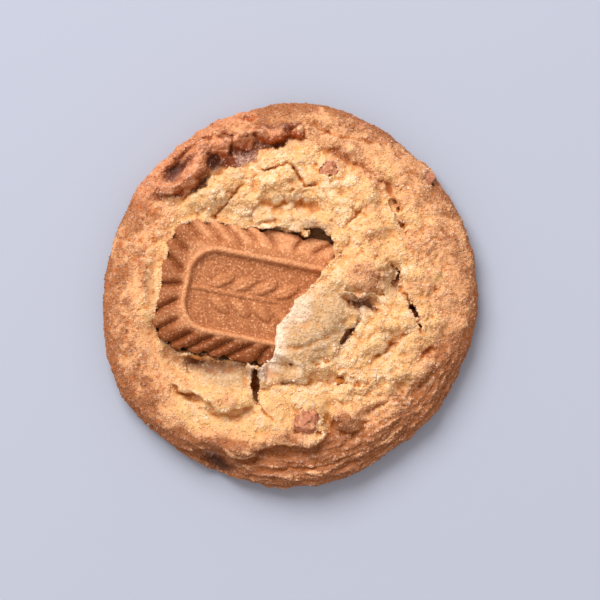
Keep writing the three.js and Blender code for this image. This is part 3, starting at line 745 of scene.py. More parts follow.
for node in ("biscuit_chip_front", "biscuit_chip_right", "biscuit_chip_top"):
    centre, spread = middle_and_half(node)
    way = (places[:, :2] - centre[:2]) / spread[:2]
    away = np.hypot(way[:, 0], way[:, 1])
    pull = 0.36 * np.exp(-((away - 1.05) / 0.34) ** 2) * (places[:, 2] > centre[2] - spread[2])
    places[:, :2] -= (places[:, :2] - centre[:2]) * pull[:, None]
write_places(dough.data, places)

# The foot of the flap runs on into the crust without a step
settled = smoothed_places(dough, 150)
foot = patch(places[:, :2], (-2.6, -17.4), (5.6, 3.0), -32, 0.6) * (places[:, 2] > 8)
foot = np.maximum(foot, patch(places[:, :2], (8.2, -20.2), (5.4, 2.6), -6, 0.6) * (places[:, 2] > 6))
foot = np.maximum(foot, patch(places[:, :2], (25.8, 20.4), (3, 5.6), 20, 0.5) * (places[:, 2] > 6))
places[:, 2] += foot * (settled[:, 2] - places[:, 2])
write_places(dough.data, places)

settled = smoothed_places(dough, 8)
write_places(dough.data, settled)
normals = read_normals(dough.data)
write_places(dough.data, places)
plan = places[:, :2]
wander = np.column_stack([clouds(places, 1.9, 11), clouds(places, 1.9, 12)])
ragged = plan + 0.55 * wander
out = np.hypot(plan[:, 0], plan[:, 1]) / COOKIE_RADIUS
upward = np.clip(normals[:, 2], 0, 1)
lift = 1.7 * patch(plan, (9.9, 31.2), (3.9, 3.7), 0, 0.7)

# Rounded folds and lobes that stand up from the crust: points, half width and height
LOBES = {
    "strap": ([
        (-21.4, 37.6), (-21.9, 34.4), (-22.9, 31.6), (-24.9, 29.2), (-27.4, 27.4), (-30.4, 26.2),
        (-33.4, 25.4)], 1.9, 3.6),
    "body of the strap": ([(-23, 28.8), (-24.8, 26.8), (-26.6, 25.2)], 2.0, 1.6),
    "brown lump": ([(-20, 37.4), (-17.2, 36.4), (-14.8, 35.2)], 2.5, 2.6),
    "second lump": ([(-14.4, 38), (-11.6, 37.7), (-8.8, 37.1)], 1.8, 2.0),
    "roll": ([(-8.6, 39.4), (-5.8, 38.9), (-3, 39), (-0.9, 39.7)], 1.7, 3.0),
    "bulb": ([(1.4, 39.9), (3.2, 39.9)], 1.4, 2.0),
    "fold above the roll": ([(-14.6, 40.6), (-11, 41), (-7.6, 41.2)], 1.9, 1.0),
    "rim at the caramel": ([
        (-37, 24.6), (-33, 30.6), (-28, 36), (-22.4, 40), (-16.4, 42.4), (-11, 43.8)], 2.2, 0.9),
    "golden lobe of the slab": ([(-21.6, -23.4), (-18.6, -25.6), (-15.4, -26.4), (-12, -25.4)], 2.6, 1.0),
    "back of the slab": ([(-22.6, -19.6), (-17, -20.4), (-10.8, -20.8)], 2.2, 0.4),
    "yellow fold of the flap": ([(-1.6, -8.6), (2.4, -10), (6, -10.6), (8.6, -9.6)], 2.3, 0.8),
    "small lobe of the flap": ([(4.8, -12.4), (7.4, -13), (9.2, -12.4)], 1.9, 0.8),
    "low fold of the flap": ([(-5, -15.6), (-1, -16.6), (3.4, -17)], 2.4, 0.6),
    "upper fold of the flap": ([(2.6, -3), (7, -3.4), (11, -4.6), (13.4, -6)], 2.6, 0.6),
    "browned lump": ([(14.8, 5.6), (18, 5.2), (20.6, 3.6)], 3.5, 1.5),
    "knob": ([(21.2, 1.8), (22.8, 1.2)], 1.6, 1.4),
    "pale lump in the pocket": ([(23.2, 6.2), (23.4, 4.2)], 1.9, 0.9),
    "golden lump": ([(11.8, -30.2), (14, -30.6), (16.6, -30.2)], 2.7, 0.8),
    "ridge below the chip": ([(1, -36.2), (5.6, -35.4), (9, -33.6)], 1.6, 0.6),
    "roll along the skirt": ([(-6, -44.6), (1, -44.8), (8, -43.8), (16, -41)], 1.5, 0.6),
    "upper roll of the skirt": ([(2, -39.6), (9, -38.6), (16, -36.6), (23, -33.4)], 1.5, 0.6),
    "shoulder lump": ([(17.6, 18.4), (21.4, 17.4), (24.4, 15)], 3.0, 0.6),
    "lip over the upper right gap": ([(17.6, 25.8), (21, 25), (23.4, 23.8)], 2.0, 0.7),
}
for points, half, height in LOBES.values():
    rows, gap, share = near_line(plan + 0.35 * wander, walked(points), half * 1.25)
    end = ramp(np.minimum(share, 1 - share), -0.08, 0.22)
    lift[rows] += height * end * np.clip(1 - (gap / (half * 1.25)) ** 2, 0, 1) ** 0.7

# Pits and hollows: place, half sizes, turn and depth
PITS = {
    "caramel basin": ((-26, 30.8), (7.6, 4.6), 44, 1.9),
    "basin behind the lumps": ((-14.4, 34.6), (9.4, 3.6), 14, 1.6),
    "basin of the roll": ((-3.4, 38.6), (8.4, 2.2), 7, 1.5),
    "first pit": ((-28.8, 30.6), (2.6, 1.7), 42, 1.2),
    "second pit": ((-19.2, 32.4), (1.6, 2.0), -20, 1.2),
    "hole in the glaze": ((-27.2, 24.6), (0.9, 0.8), 0, 1.3),
    "red crack": ((-10.2, 43.1), (3.0, 0.7), 8, 0.9),
    "recess beside the slab": ((-24.4, -24.6), (3.0, 1.2), -24, 1.2),
    "hole under the corner": ((-24.4, -15.6), (2.9, 1.1), -16, 1.6),
    "hollow along the slab": ((-20.0, -17.2), (8.4, 1.8), -9, 1.4),
    "hollow left of the corner": ((-29.4, -14.6), (3.0, 1.6), -35, 0.9),
    "taupe hollow": ((17.2, -1.8), (4.4, 2.0), -8, 2.6),
    "dark recess": ((-17.8, -41), (5.4, 2.2), -30, 2.0),
    "hollow by the chip": ((9.4, -31.4), (1.7, 3.4), 10, 1.4),
    "left of the chip": ((1.2, -33.1), (1.0, 0.7), -30, 1.2),
    "foot of the chip": ((6.9, -33.9), (1.0, 0.8), 40, 1.2),
    "valley right of the flap": ((25.6, -11.2), (4.6, 1.1), 40, 1.0),
    "valley on the lower right": ((30.6, -22.6), (3.2, 0.9), 50, 0.9),
    "pale valley": ((22, -13.8), (3.4, 1.0), 44, 0.8),
    "pocket": ((25.6, 4.8), (1.2, 4.2), 8, 1.6),
    "sliver at the left": ((-34.2, 1.4), (1.3, 6.0), 0, 0.5),
    "slot at the upper right": ((26.2, 21.6), (0.9, 2.0), 38, 0.8),
}
for centre, half, turn, depth in PITS.values():
    lift -= depth * patch(ragged, centre, (half[0] * 1.25, half[1] * 1.25), turn, 0.75)

# Creases and cracks: points in plan, half width and depth
CREASES = {
    "crease inside the rim": ([
        (-28.4, 33), (-26, 35.4), (-24.1, 37.1), (-22.2, 38), (-19.3, 38.7), (-17, 38.9), (-14.4, 38.9),
        (-11, 38.7)], 0.6, 1.3),
    "fold under the strap": ([(-26.4, 23.2), (-24, 25), (-21.8, 27.2), (-20, 29.6), (-18.4, 31)], 0.9, 2.2),
    "edge of the third pit": ([
        (-11, 31.9), (-8.5, 33), (-6, 35.5), (-3, 36.6), (0, 38), (3.4, 38.4)], 0.7, 0.8),
    "seam under the roll": ([
        (-8.6, 39), (-7.2, 37.5), (-4.3, 36.9), (-1.9, 37.4), (-0.2, 38.3), (3, 38.4)], 0.6, 1.4),
    "notch before the bulb": ([(0, 40.9), (0.2, 39.6), (-0.2, 38.6)], 0.5, 1.0),
    "between the lumps": ([(-14.2, 36.4), (-14.8, 34.9), (-16.4, 33.6)], 0.5, 1.0),
    "orange groove": ([
        (9.9, 35.1), (13.4, 32.8), (16.9, 31.1), (19.2, 29), (21.6, 27.1), (23.4, 25.5)], 1.1, 1.0),
    "crack in the crumb": ([
        (-0.7, 32.1), (0.7, 31), (1.7, 30), (2.6, 28.1), (3.8, 26.4), (4.9, 26.7), (6.8, 27.4)], 0.45, 1.7),
    "crack left of it": ([(-8.5, 31.6), (-7, 30.5), (-5, 30.8), (-1, 32.1)], 0.42, 1.3),
    "valley in the arch": ([(-6, 22), (-3, 21.8), (0, 23), (2, 22.3), (4, 21.8), (5.5, 20.6)], 0.8, 1.1),
    "shadow above the biscuit": ([(-9.2, 17.8), (-8, 17.2), (-5, 18), (-3, 17.7)], 0.6, 1.2),
    "crease over the deep gap": ([(13.6, 17.4), (14.6, 18.4), (16, 19.5), (17.4, 20.9)], 0.4, 1.2),
    "crease in the left arch": ([(-12, 26.6), (-15, 24), (-17, 21), (-18.4, 19.2)], 0.6, 1.5),
    "gap at the upper right": ([(24, 24.2), (24.6, 22.4), (26.4, 20.6)], 0.5, 0.5),
    "gap below that": ([(25.6, 18), (26.8, 17.3), (28.2, 16.5)], 0.5, 0.7),
    "slit in the right crust": ([(36.9, 16.3), (37.4, 15.5), (38.1, 14.8)], 0.38, 0.9),
    "tear behind the flap": ([
        (16.7, -2.2), (16.3, -4.5), (16.9, -5.6), (15.8, -7), (15.3, -8.2), (13.8, -8.7), (13.4, -10),
        (12.8, -11.2), (12.3, -12), (11.2, -13.5), (9.8, -15)], 0.3, 1.6),
    "branch of the tear": ([(16.8, -2.6), (18.5, -3.1), (20.5, -3.4), (22.5, -4)], 0.38, 1.4),
    "short crack on the flap": ([(12.3, -0.6), (13.8, -1.2), (14.2, -2.4)], 0.42, 1.1),
    "crack in the pale pocket": ([
        (24.2, 8), (25.5, 6.5), (26.3, 5), (25.8, 3.4), (25.2, 2.7), (27, 1.2), (28, 0), (29, -1.8),
        (29.8, -3.2), (30.2, -4.4), (30.8, -5.8), (31.4, -8), (31.8, -9.5)], 0.42, 1.4),
    "crease under the flap": ([
        (-7.5, -23.3), (-3, -21.8), (0, -21.6), (4, -21.8), (7, -21.4), (13, -21.8)], 0.6, 0.8),
    "fold across the flap": ([(-3, -13), (1.4, -12.8), (5, -12), (11.3, -9.1)], 0.8, 0.7),
    "groove in the right crust": ([(35, -13.2), (33.5, -13.6), (32, -15), (31.5, -15.8)], 0.5, 1.2),
    "fold above the golden lump": ([(17.5, -29.5), (20, -28), (24, -25)], 0.7, 1.1),
    "fold on the lower right": ([(34, -19.5), (31.5, -22), (30.5, -23.5)], 0.7, 1.0),
    "wrinkle": ([(21, -35.6), (25, -34.2), (28, -33)], 0.7, 0.6),
    "long wrinkle": ([(11, -42.2), (18, -40.5), (24, -38)], 0.7, 0.7),
    "foot of the golden lump": ([(10.3, -31.6), (12.5, -33.5), (15, -33.7), (18, -31.5)], 0.7, 1.4),
    "crack under the gap": ([(-7.4, -26.3), (-6.8, -28), (-6, -29), (-4.5, -30.3)], 0.36, 1.0),
    "gap under the biscuit": ([
        (-8.5, -18), (-8.9, -20), (-9.2, -22), (-8.5, -23), (-8.2, -25), (-8, -26.5)], 0.7, 1.0),
    "crack beside the slab": ([(-25.2, -17), (-24.9, -18), (-24.2, -19.2)], 0.34, 1.1),
    "line in the skirt": ([(-13, -43.2), (-4, -42.8), (4, -42.2), (10, -41.4)], 0.6, 0.7),
}
for points, half, depth in CREASES.values():
    line = walked(points)
    rows, gap, share = near_line(ragged, line, half * 2.6)
    taper = 0.35 + 0.65 * np.sin(np.pi * np.clip(share, 0.03, 0.97))
    lift[rows] -= 1.35 * depth * taper * np.exp(-(gap / half) ** 2)

# Edges of layers: the crust stands higher on the left of each line and drops on its right
LAYERS = {
    "edge of the yellow crust": ([
        (-0.7, 38), (-2.3, 36.3), (-6.9, 35.4), (-8.4, 33.9), (-8.4, 32), (-10.3, 31.3), (-13.5, 31.4),
        (-16.4, 30.6), (-18.8, 28.9), (-21.2, 26.7), (-23.6, 24.7), (-25.6, 22.8)], 0.5, 0.7, 1.7),
    "lip of the lower layer": ([
        (-40, -25), (-38, -27), (-35, -31), (-32, -33.5), (-30, -36), (-27, -37.6), (-22, -37.6),
        (-17.5, -37.6), (-15, -39.5), (-13, -39.8), (-10, -39.2), (-8, -37.8), (-5, -37), (2, -37),
        (5, -36.5), (7.3, -35.5), (9.5, -33), (10, -31.3)], 0.9, 1.9, 3.0),
    "lip of the slab": ([
        (-29, -21), (-27, -23), (-25, -24), (-23, -24.2), (-21, -25.5), (-19.5, -26.5), (-18, -28.3),
        (-16, -28.8), (-14, -28), (-8.5, -26.6)], 0.9, 1.5, 2.0),
    "lip of the yellow crust": ([
        (23.9, 35.8), (20.4, 37), (16.9, 37.4), (13.4, 38.1), (11, 38.6), (8.7, 39.5), (5.2, 41),
        (3.1, 41.2)], 0.5, 0.8, 1.5),
    "ledge of the pale crumb": ([
        (29.5, 16), (27.4, 17.4), (25.4, 18.8), (25.4, 21.4), (24, 24.4), (22.4, 27.4)], 0.6, 0.9, 1.7),
    "edge of the browned lump": ([
        (23.4, -0.2), (20.6, -0.3), (18, 0.7), (15, 0.7), (12.6, 1.7)], 0.5, 1.1, 1.3),
}
for points, raised, sunk, fade in LAYERS.values():
    line = walked(points)
    rows, gap, share = near_line(ragged, line, fade * 2.4)
    taper = ramp(np.minimum(share, 1 - share), 0, 0.08)
    face = ramp(gap, -0.3, 0.3)
    lift[rows] += taper * np.exp(-(gap / fade) ** 2) * (raised * face - sunk * (1 - face))

# Small holes: place, radius and depth
HOLES = [
    (-18.4, 19.2, 0.7, 1.4), (-18.3, 23, 0.45, 0.8), (0.7, 31, 0.5, 1.2), (6.1, 31.7, 0.5, 1.2),
    (0.7, 25.2, 0.45, 1), (9.2, 39.5, 0.6, 1.0), (12.4, 38.5, 0.5, 0.9), (32, 15.2, 0.4, 0.9),
    (30.2, 14.3, 0.35, 0.7), (5.5, -16.5, 0.6, 1.2), (6.5, -17.2, 0.6, 1.2), (8.8, -16.4, 0.55, 1.0),
    (-1.7, -21.2, 0.8, 1.4), (29.8, -3.2, 0.6, 1.4), (27.2, -26.8, 0.5, 1.0), (21.8, -24.5, 0.5, 0.9),
    (29, -20.5, 0.4, 0.8), (25, -20.5, 0.4, 0.7), (27, -23.5, 0.4, 0.7), (43.5, -6.6, 0.4, 0.8),
    (41, -6.5, 0.35, 0.7), (35.7, 1.2, 0.5, 0.8), (32, 3.8, 0.35, 0.6), (35.4, 9.3, 0.35, 0.6),
    (-40, -9, 0.45, 0.8), (-37, -17.3, 0.35, 0.7), (1.2, -26.7, 0.4, 0.9), (12, 41.5, 0.35, 0.5),
    (10, 43, 0.35, 0.5), (-9, -40.6, 0.35, 0.6), (-8.6, 26.8, 0.4, 0.7), (27.2, 17, 0.5, 1.2),
    (-21.6, -7.2, 0.3, 0.5), (34.6, -5.6, 0.35, 0.7),
]
for hx, hy, radius, depth in HOLES:
    away = np.hypot(ragged[:, 0] - hx, ragged[:, 1] - hy) / radius
    lift -= depth * np.exp(-away ** 2)


def strongest(plan, patches):
    """The most that any of a few patches gives: each with its weight, place, half sizes, turn and soft edge."""
    return np.maximum.reduce([weight * patch(plan, *where) for weight, *where in patches])


# How crumbly the crust is: most on the ring of broken crumb, least on the rim and the smooth left side
ring = ramp(1 - out, 0.05, 0.22)
leftward = ramp(plan[:, 0], -38, -16)
crumbly = 0.12 + 0.88 * ring * (0.3 + 0.7 * leftward)
crumbly = np.maximum(crumbly, 0.5 * ramp(plan[:, 0], 16, 30) * ramp(1 - out, 0.0, 0.08))

# Where it is caramel, glazed, grey or raw, and where shade is painted dark
caramel = strongest(ragged, [
    (1, (-26.5, 31.5), (8.5, 6), 46, 0.35), (1, (-15.5, 35.4), (10, 5.4), 8, 0.35),
    (1, (-7, 38), (7, 4.4), 6, 0.4), (0.4, (-35.5, 25), (6, 3.6), 50, 0.8),
])
caramel = np.maximum(caramel, band(ragged, LOBES["strap"][0], 3.6, 0.5))
caramel = np.maximum(caramel, band(ragged, LOBES["roll"][0] + LOBES["bulb"][0], 2.6, 0.4))
caramel = np.maximum(caramel, 0.8 * band(ragged, LOBES["rim at the caramel"][0], 4.0, 0.8))
yellow_edge = walked(LAYERS["edge of the yellow crust"][0])
rows, gap, share = near_line(ragged, yellow_edge, 9)
caramel[rows] *= ramp(-gap, -0.15, 0.45)
crown = np.zeros(len(places))
for name in ("strap", "body of the strap", "brown lump", "second lump", "roll", "bulb", "fold above the roll"):
    rows, gap, share = near_line(plan + 0.35 * wander, walked(LOBES[name][0]), LOBES[name][1] * 1.25)
    end = ramp(np.minimum(share, 1 - share), -0.1, 0.2)
    crown[rows] = np.maximum(crown[rows], end * (1 - (gap / (LOBES[name][1] * 1.25)) ** 2))
crown = np.maximum(crown, band(plan, LOBES["rim at the caramel"][0], 4.4, 0.5))
glaze = strongest(ragged, [
    (1, (-27, 24.8), (1.9, 1.5), 0, 0.6), (0.9, (-16.2, 34), (2.8, 0.9), -14, 0.7),
    (0.9, (-11.4, 36.1), (3.2, 0.7), 0, 0.7), (0.7, (-23.8, 26.6), (3.4, 1.2), 44, 0.8),
    (0.8, (-10.2, 43.1), (3.6, 0.8), 8, 0.7),
])
glazed_seam = [(-7.6, 37.8), (-4.4, 37.5), (-2, 38.0), (0, 39), (2.8, 39.2)]
glaze = np.maximum(glaze, band(ragged, glazed_seam, 1.3, 0.7))
# Painted shade: dark in the caramel pits, under the roll and the strap, along and beside the biscuit's lower
# edge, in the hollow under the browned lump, in the dark recess and in the gaps by the flap.
painted_pit_shade = strongest(ragged, [
    (1, (-28.6, 30.2), (4.4, 2.5), 42, 0.8), (1, (-19.2, 32.2), (2.1, 2.9), -20, 0.8),
    (0.8, (-7.2, 37), (2.4, 1.1), -16, 0.8), (0.7, (-21.8, 27.2), (5.4, 1.1), 44, 0.8),
    (0.6, (-17.6, -41.2), (5.6, 2.2), -30, 0.7), (0.62, (-20, -17.4), (9.6, 2.3), -8, 0.8),
    (0.36, (-29.4, -14.6), (4, 2.2), -35, 0.8), (0.62, (17, -2.8), (5, 2.6), -14, 0.8),
    (0.52, (-1, -21), (3.8, 1.6), 4, 0.8), (0.46, (6.2, 16.8), (5.8, 1.9), -11, 0.8),
])
# A painted shadow along the biscuit's lower edge.
painted_pit_shade = np.maximum(painted_pit_shade, 0.5 * band(ragged, [(-17, -17.4), (-11.6, -18.2), (-7, -19)], 1.6, 0.8))
# Grey crumb, and painted shade in the hollow under the browned lump.
grey_crumb_and_shade = strongest(ragged, [
    (0.7, (-11, 33.6), (3.8, 1.9), 12, 0.7), (0.7, (-18.4, 30.9), (2.2, 1.0), 30, 0.8),
    (0.7, (-19.8, -38.9), (2.8, 0.9), -16, 0.7), (0.6, (17.4, -1), (4.4, 1.6), -6, 0.8),
])
raw = strongest(ragged, [
    (1, (4.2, -8.6), (14.5, 9.2), 50, 0.4), (1, (-16, -19), (11, 4.4), -6, 0.6),
    (1, (-3.4, -17.8), (7, 3.4), 24, 0.4), (1, (24.4, 3.6), (2.4, 5.4), 8),
    (0.45, (2, 17.4), (11, 2.6), -9, 0.8), (0.6, (-25.4, -16.8), (5, 2.4), -20, 0.7),
])
pale_sliver = [(-34.6, 8), (-34.2, 2), (-33.8, -5), (-31, -10), (-28, -14)]
raw = np.maximum(raw, 0.7 * band(ragged, pale_sliver, 2.0, 0.8))
crumbly *= 1 - 0.65 * raw
crumbly *= 1 - 0.75 * ramp(-plan[:, 0], -6, 6) * ramp(-plan[:, 1], 18, 25)
crumbly = np.maximum(crumbly, 0.6 * caramel)

SPOTS = dice.uniform(0.1, 0.9, (256, 3))
PLUMP = dice.uniform(0.15, 0.75, 256)


def clumps(places, size, seed):
    """Rounded clumps of uneven size and height, pressed together with creases between: 0 to about 0.7."""
    at = places / size + seed * 7.31
    cell = np.floor(at).astype(int)
    top = np.zeros(len(at))
    for step in np.ndindex(3, 3, 3):
        near = cell + np.array(step) - 1
        key = drawn(near)
        top = np.maximum(top, PLUMP[key] - ((at - near - SPOTS[key]) ** 2).sum(axis=1))
    return top


bent = places + 0.7 * np.column_stack([clouds(places, 2.2, seed, 2) for seed in (31, 32, 33)])
crumb = 1.9 * clumps(bent, 6.0, 5) + 1.4 * clumps(bent, 3.1, 6) + 0.45 * clouds(places, 8, 7, 2) - 1.0
crumb *= crumbly
crumb += (0.2 + 0.6 * crumbly) * (0.75 * clumps(bent, 1.8, 4) - 0.25)
crumb += caramel * (0.8 * clumps(places, 1.5, 13) - 0.3)
crumb += (1 - 0.7 * crumbly) * (0.5 * clumps(bent, 5.0, 9) + 0.16 * clouds(places, 3, 19) - 0.15)
crumb += 0.3 * clumps(places, 1.25, 8) - 0.08

# It swells round the chip at the rim, and in the lip at the lower left
crumb += 1.0 * patch(plan, (-12.4, -37.8), (5.0, 2.4), -10, 0.7)
crumb += 0.9 * patch(plan, (32.4, 29.4), (5.4, 5.0), 0, 0.9)

# The skirt is wrinkled along the edge
angle = np.arctan2(plan[:, 1], plan[:, 0])
along_edge = np.column_stack([angle * 8.5, out * COOKIE_RADIUS / 1.5, places[:, 2] / 1.5])
skirt = ramp(out, 0.78, 0.9) * ramp(-plan[:, 1] + 0.35 * plan[:, 0], 20, 38)
wrinkle = clouds(along_edge, 1.0, 23)
crumb += 0.8 * skirt * wrinkle

places[:, 2] += lift * (0.25 + 0.75 * upward) * (places[:, 2] > 1.0)
places += normals * crumb[:, None] * ramp(places[:, 2], 0.2, 1.2)[:, None]
# Under that lip the skirt has sunk into a dark recess
recess = 0.62 * patch(ragged, (-18, -41.4), (6.2, 2.6), -27, 0.6)
places[:, 2] -= recess * np.maximum(places[:, 2] - 1.6, 0)
# The crown rises no further than the solid's top
CROWN_BEND = 15.8
CROWN_ROOM = 1.5
over = places[:, 2] - CROWN_BEND
bent_down = CROWN_BEND + CROWN_ROOM * np.tanh(over / CROWN_ROOM * 0.8)
places[:, 2] = np.where(over > 0, bent_down, places[:, 2])
places[:, 2] = np.maximum(places[:, 2], 0)
write_places(dough.data, places)
places = 0.35 * places + 0.65 * smoothed_places(dough, 1)
places[:, 2] = np.maximum(places[:, 2], 0)
write_places(dough.data, places)
notch = sunken(dough, 4)
hollow = sunken(dough, 50)
valley = sunken(dough, 160)

# How brown the crust is, from 0 to 1: most on the rim, at the front and below the lip. It is baked browning,
# with painted light and shade added where marked.
browning_and_shade = 0.12 + 0.46 * ramp(out, 0.68, 0.92) + 0.22 * ramp(out, 0.95, 1.01)
browning_and_shade += 0.18 * ramp(-plan[:, 0], 20, 36) * (1 - ramp(plan[:, 1], 12, 22) * ramp(-out, -0.72, -0.66))
browning_and_shade += 0.05 * ramp(plan[:, 0], 12, 20) + 0.08 * ramp(plan[:, 0], 24, 36) + 0.20 * clouds(places, 8, 21)
browning_and_shade += (0.24 - 0.13 * ramp(out, 0.6, 0.8)) * clouds(places, 2.6, 22, 3)
# Browner at the front and on the lower right rim: baked browning, and painted shade where the rim faces away
# from the light.
browning_and_shade += 0.30 * ramp(-plan[:, 1] + 0.4 * plan[:, 0], 28, 44)
browning_and_shade += 0.36 * ramp(out, 0.88, 1.0) * ramp(-plan[:, 1] + 0.5 * plan[:, 0], 5, 30)
# Painted shade below the lip of the lower layer.
rows, gap, share = near_line(ragged, walked(LAYERS["lip of the lower layer"][0]), 6)
browning_and_shade[rows] += 0.34 * ramp(-gap, -0.2, 0.8) * ramp(6 - np.abs(gap), 0, 3)
browning_and_shade[rows] += 0.22 * ramp(-gap, -0.1, 0.4) * ramp(2.4 - np.abs(gap), 0, 1.6)
browning_and_shade += 0.14 * ramp(plan[:, 1], 34, 42) - 0.07 * ramp(plan[:, 0], 32, 40) * ramp(plan[:, 1], -18, -6)
# Browner in the orange groove; on the skirt, paler on the wrinkles' crests and darker in their troughs, as
# painted light and shade.
browning_and_shade += 0.30 * band(ragged, CREASES["orange groove"][0], 2.6, 0.9) - 0.5 * skirt * wrinkle
# Painted shade in broad valleys and a painted highlight on broad ridges.
browning_and_shade += 0.34 * ramp(valley, 0.15, 1.5) - 0.08 * ramp(-valley, 0.2, 1.2)
browning_and_shade += 0.32 * band(ragged, [(-27, -33.4), (-22, -35.6), (-11.5, -36.6), (-4, -35.4), (3, -34.8)], 3.2, 0.8)

# Browner and paler places: how much browner, place, half sizes, turn and softness of the edge
TOASTED = [
    (0.50, (17.8, 4.2), (6.8, 5), -14, 0.5), (0.30, (22, 1), (2.6, 2), 0, 0.7),
    (0.26, (14.5, -30.6), (4.6, 3.2), 6, 0.7), (0.20, (22, -7.5), (3.4, 2.4), 20, 0.8),
    (0.24, (-17, -26), (9, 3.2), -8, 0.8), (0.20, (-24, -22), (4, 3), 0, 0.8),
    (0.22, (30, 13), (7, 6), -40, 0.8), (0.16, (36, -16), (7, 6), 60, 0.8),
    (-0.22, (-26, -30), (10, 7), -45, 0.7), (-0.16, (-38, -1), (3.6, 9), 2, 0.8),
    (-0.12, (5, 43.4), (9, 2.4), -10, 0.8), (-0.12, (22, 33), (9, 3.6), -44, 0.8),
    (0.40, (-35.4, 4), (2.2, 5), 0, 0.8), (0.25, (26.4, -24.4), (3.6, 2.2), 45, 0.8),
    (0.22, (6, 20), (5, 2.4), -11, 0.8), (-0.35, (-32.5, 23.4), (4.6, 3), 50, 0.8),
    (-0.30, (-11.2, -27.9), (3.2, 1.8), 0, 0.8), (-0.30, (-24.9, 16.4), (4, 3), 0, 0.8),
    (-0.20, (16, 13.2), (3.6, 3), 0, 0.8), (-0.15, (-42, -4), (3, 5), 0, 0.8),
    (-0.25, (2.4, 23.4), (4, 2.2), 0, 0.8),
]
for browner, centre, half, turn, edge in TOASTED:
    browning_and_shade += browner * patch(ragged, centre, half, turn, edge)

# Reddish chip crumbs baked into the crust, and specks of caramel
stain = strongest(ragged, [
    (1, (9.8, 31.4), (2.9, 2.6), -40, 0.8), (0.8, (17, 41.6), (2.4, 1.0), -16, 0.8),
    (0.7, (6.2, 44.8), (2.6, 0.8), -20, 0.8), (0.6, (11.6, 41.2), (1.4, 0.9), -20, 0.8),
    (0.6, (22, 38), (2.6, 1.0), -30, 0.8), (0.5, (-37, 21), (5, 2.2), 60, 0.9),
])
specks = 0.9 * ramp(clouds(places, 1.5, 51), 0.36, 0.62) * ramp(-plan[:, 0], 26, 33) * (1 - caramel)
specks = np.maximum(specks, 0.6 * ramp(clouds(places, 1.1, 52), 0.42, 0.66) * ramp(plan[:, 0], 24, 32))
SPECKS = [(-33, 13.5, 1.2), (-38, 8.5, 0.9), (-35, 12, 0.8), (-43, 6, 0.8), (-36.5, 7.6, 1.1), (33.6, -14, 1.0)]
for sx, sy, radius in SPECKS:
    specks = np.maximum(specks, patch(ragged, (sx, sy), (radius * 1.4, radius), sx * 3, 0.8))
# Painted shade: near black in the deepest hollows and in the dark recess under the lower lip.
deep = ramp(hollow, 0.75, 1.8) * (1 - 0.6 * caramel)
deep = np.maximum(deep, 0.8 * patch(ragged, (-17.4, -41.2), (5.4, 1.5), -27, 0.8))
torn_edge = np.zeros(len(places))
rows, gap, share = near_line(ragged, FLAP_EDGE, 4)
torn_edge[rows] = ramp(4 - np.abs(gap), 0.4, 3.2)
torn_edge = np.maximum(torn_edge, 0.85 * patch(ragged, (2.8, -4.4), (4.4, 2.8), 50, 0.7))
dough_masks = {
    "browning_and_shade": browning_and_shade,
    "notch": 0.5 + 2.6 * notch,
    "hollow": 0.5 + 0.5 * hollow,
    "deep": deep,
    "caramel": caramel,
    "crown": crown,
    "glaze": glaze,
    "pit": painted_pit_shade,
    "grey_crumb_and_shade": grey_crumb_and_shade,
    "raw": raw,
    "torn edge": torn_edge,
    "stain": stain,
    "specks": specks,
}
for name, values in dough_masks.items():
    write_mask(dough.data, name, values)
dough.data.polygons.foreach_set("use_smooth", np.ones(len(dough.data.polygons), bool))

CRUMB_PALE = (0.81, 0.590, 0.360)
CRUMB_GOLD = (0.765, 0.455, 0.190)
CRUST_TAN = (0.72, 0.375, 0.176)
PALE_GRAIN_AND_HIGHLIGHT = (0.91, 0.725, 0.600)
CRUST_BROWN = (0.36, 0.132, 0.050)
DEEP_SHADE = (0.062, 0.032, 0.022)
SHADE_IN_CRACKS = (0.64, 0.215, 0.032)
BROWNED_SHADE_IN_CRACKS = (0.36, 0.110, 0.028)
RAW_CREAM = (0.50, 0.300, 0.140)
RAW_WHITE = (0.86, 0.73, 0.60)
CARAMEL_TAN = (0.67, 0.275, 0.120)
CARAMEL_BROWN = (0.44, 0.140, 0.050)
CARAMEL_SHADE = (0.21, 0.046, 0.012)
GLAZE = (0.42, 0.085, 0.006)
PIT_SHADE = (0.18, 0.066, 0.044)
GREY_CRUMB = (0.68, 0.44, 0.34)
CHIP_RED = (0.50, 0.185, 0.095)
SPECK = (0.50, 0.145, 0.035)

dough_material, nodes, links, shader = new_material("baked dough")
grain = placed_grain(nodes, 1900, 330)
notches = reckoned(nodes, links, "SUBTRACT", mask_node(nodes, "notch"), 0.5)
crests = reckoned(nodes, links, "SUBTRACT", 0.5, mask_node(nodes, "notch"))
hollows = reckoned(nodes, links, "SUBTRACT", mask_node(nodes, "hollow"), 0.5)
tone = reckoned(nodes, links, "MULTIPLY_ADD", grain.outputs["Crests"], -0.30, 0.15)
tone = reckoned(nodes, links, "ADD", mask_node(nodes, "browning_and_shade"), tone)
tone = reckoned(nodes, links, "MULTIPLY_ADD", grain.outputs["Patches"], 0.20, tone)
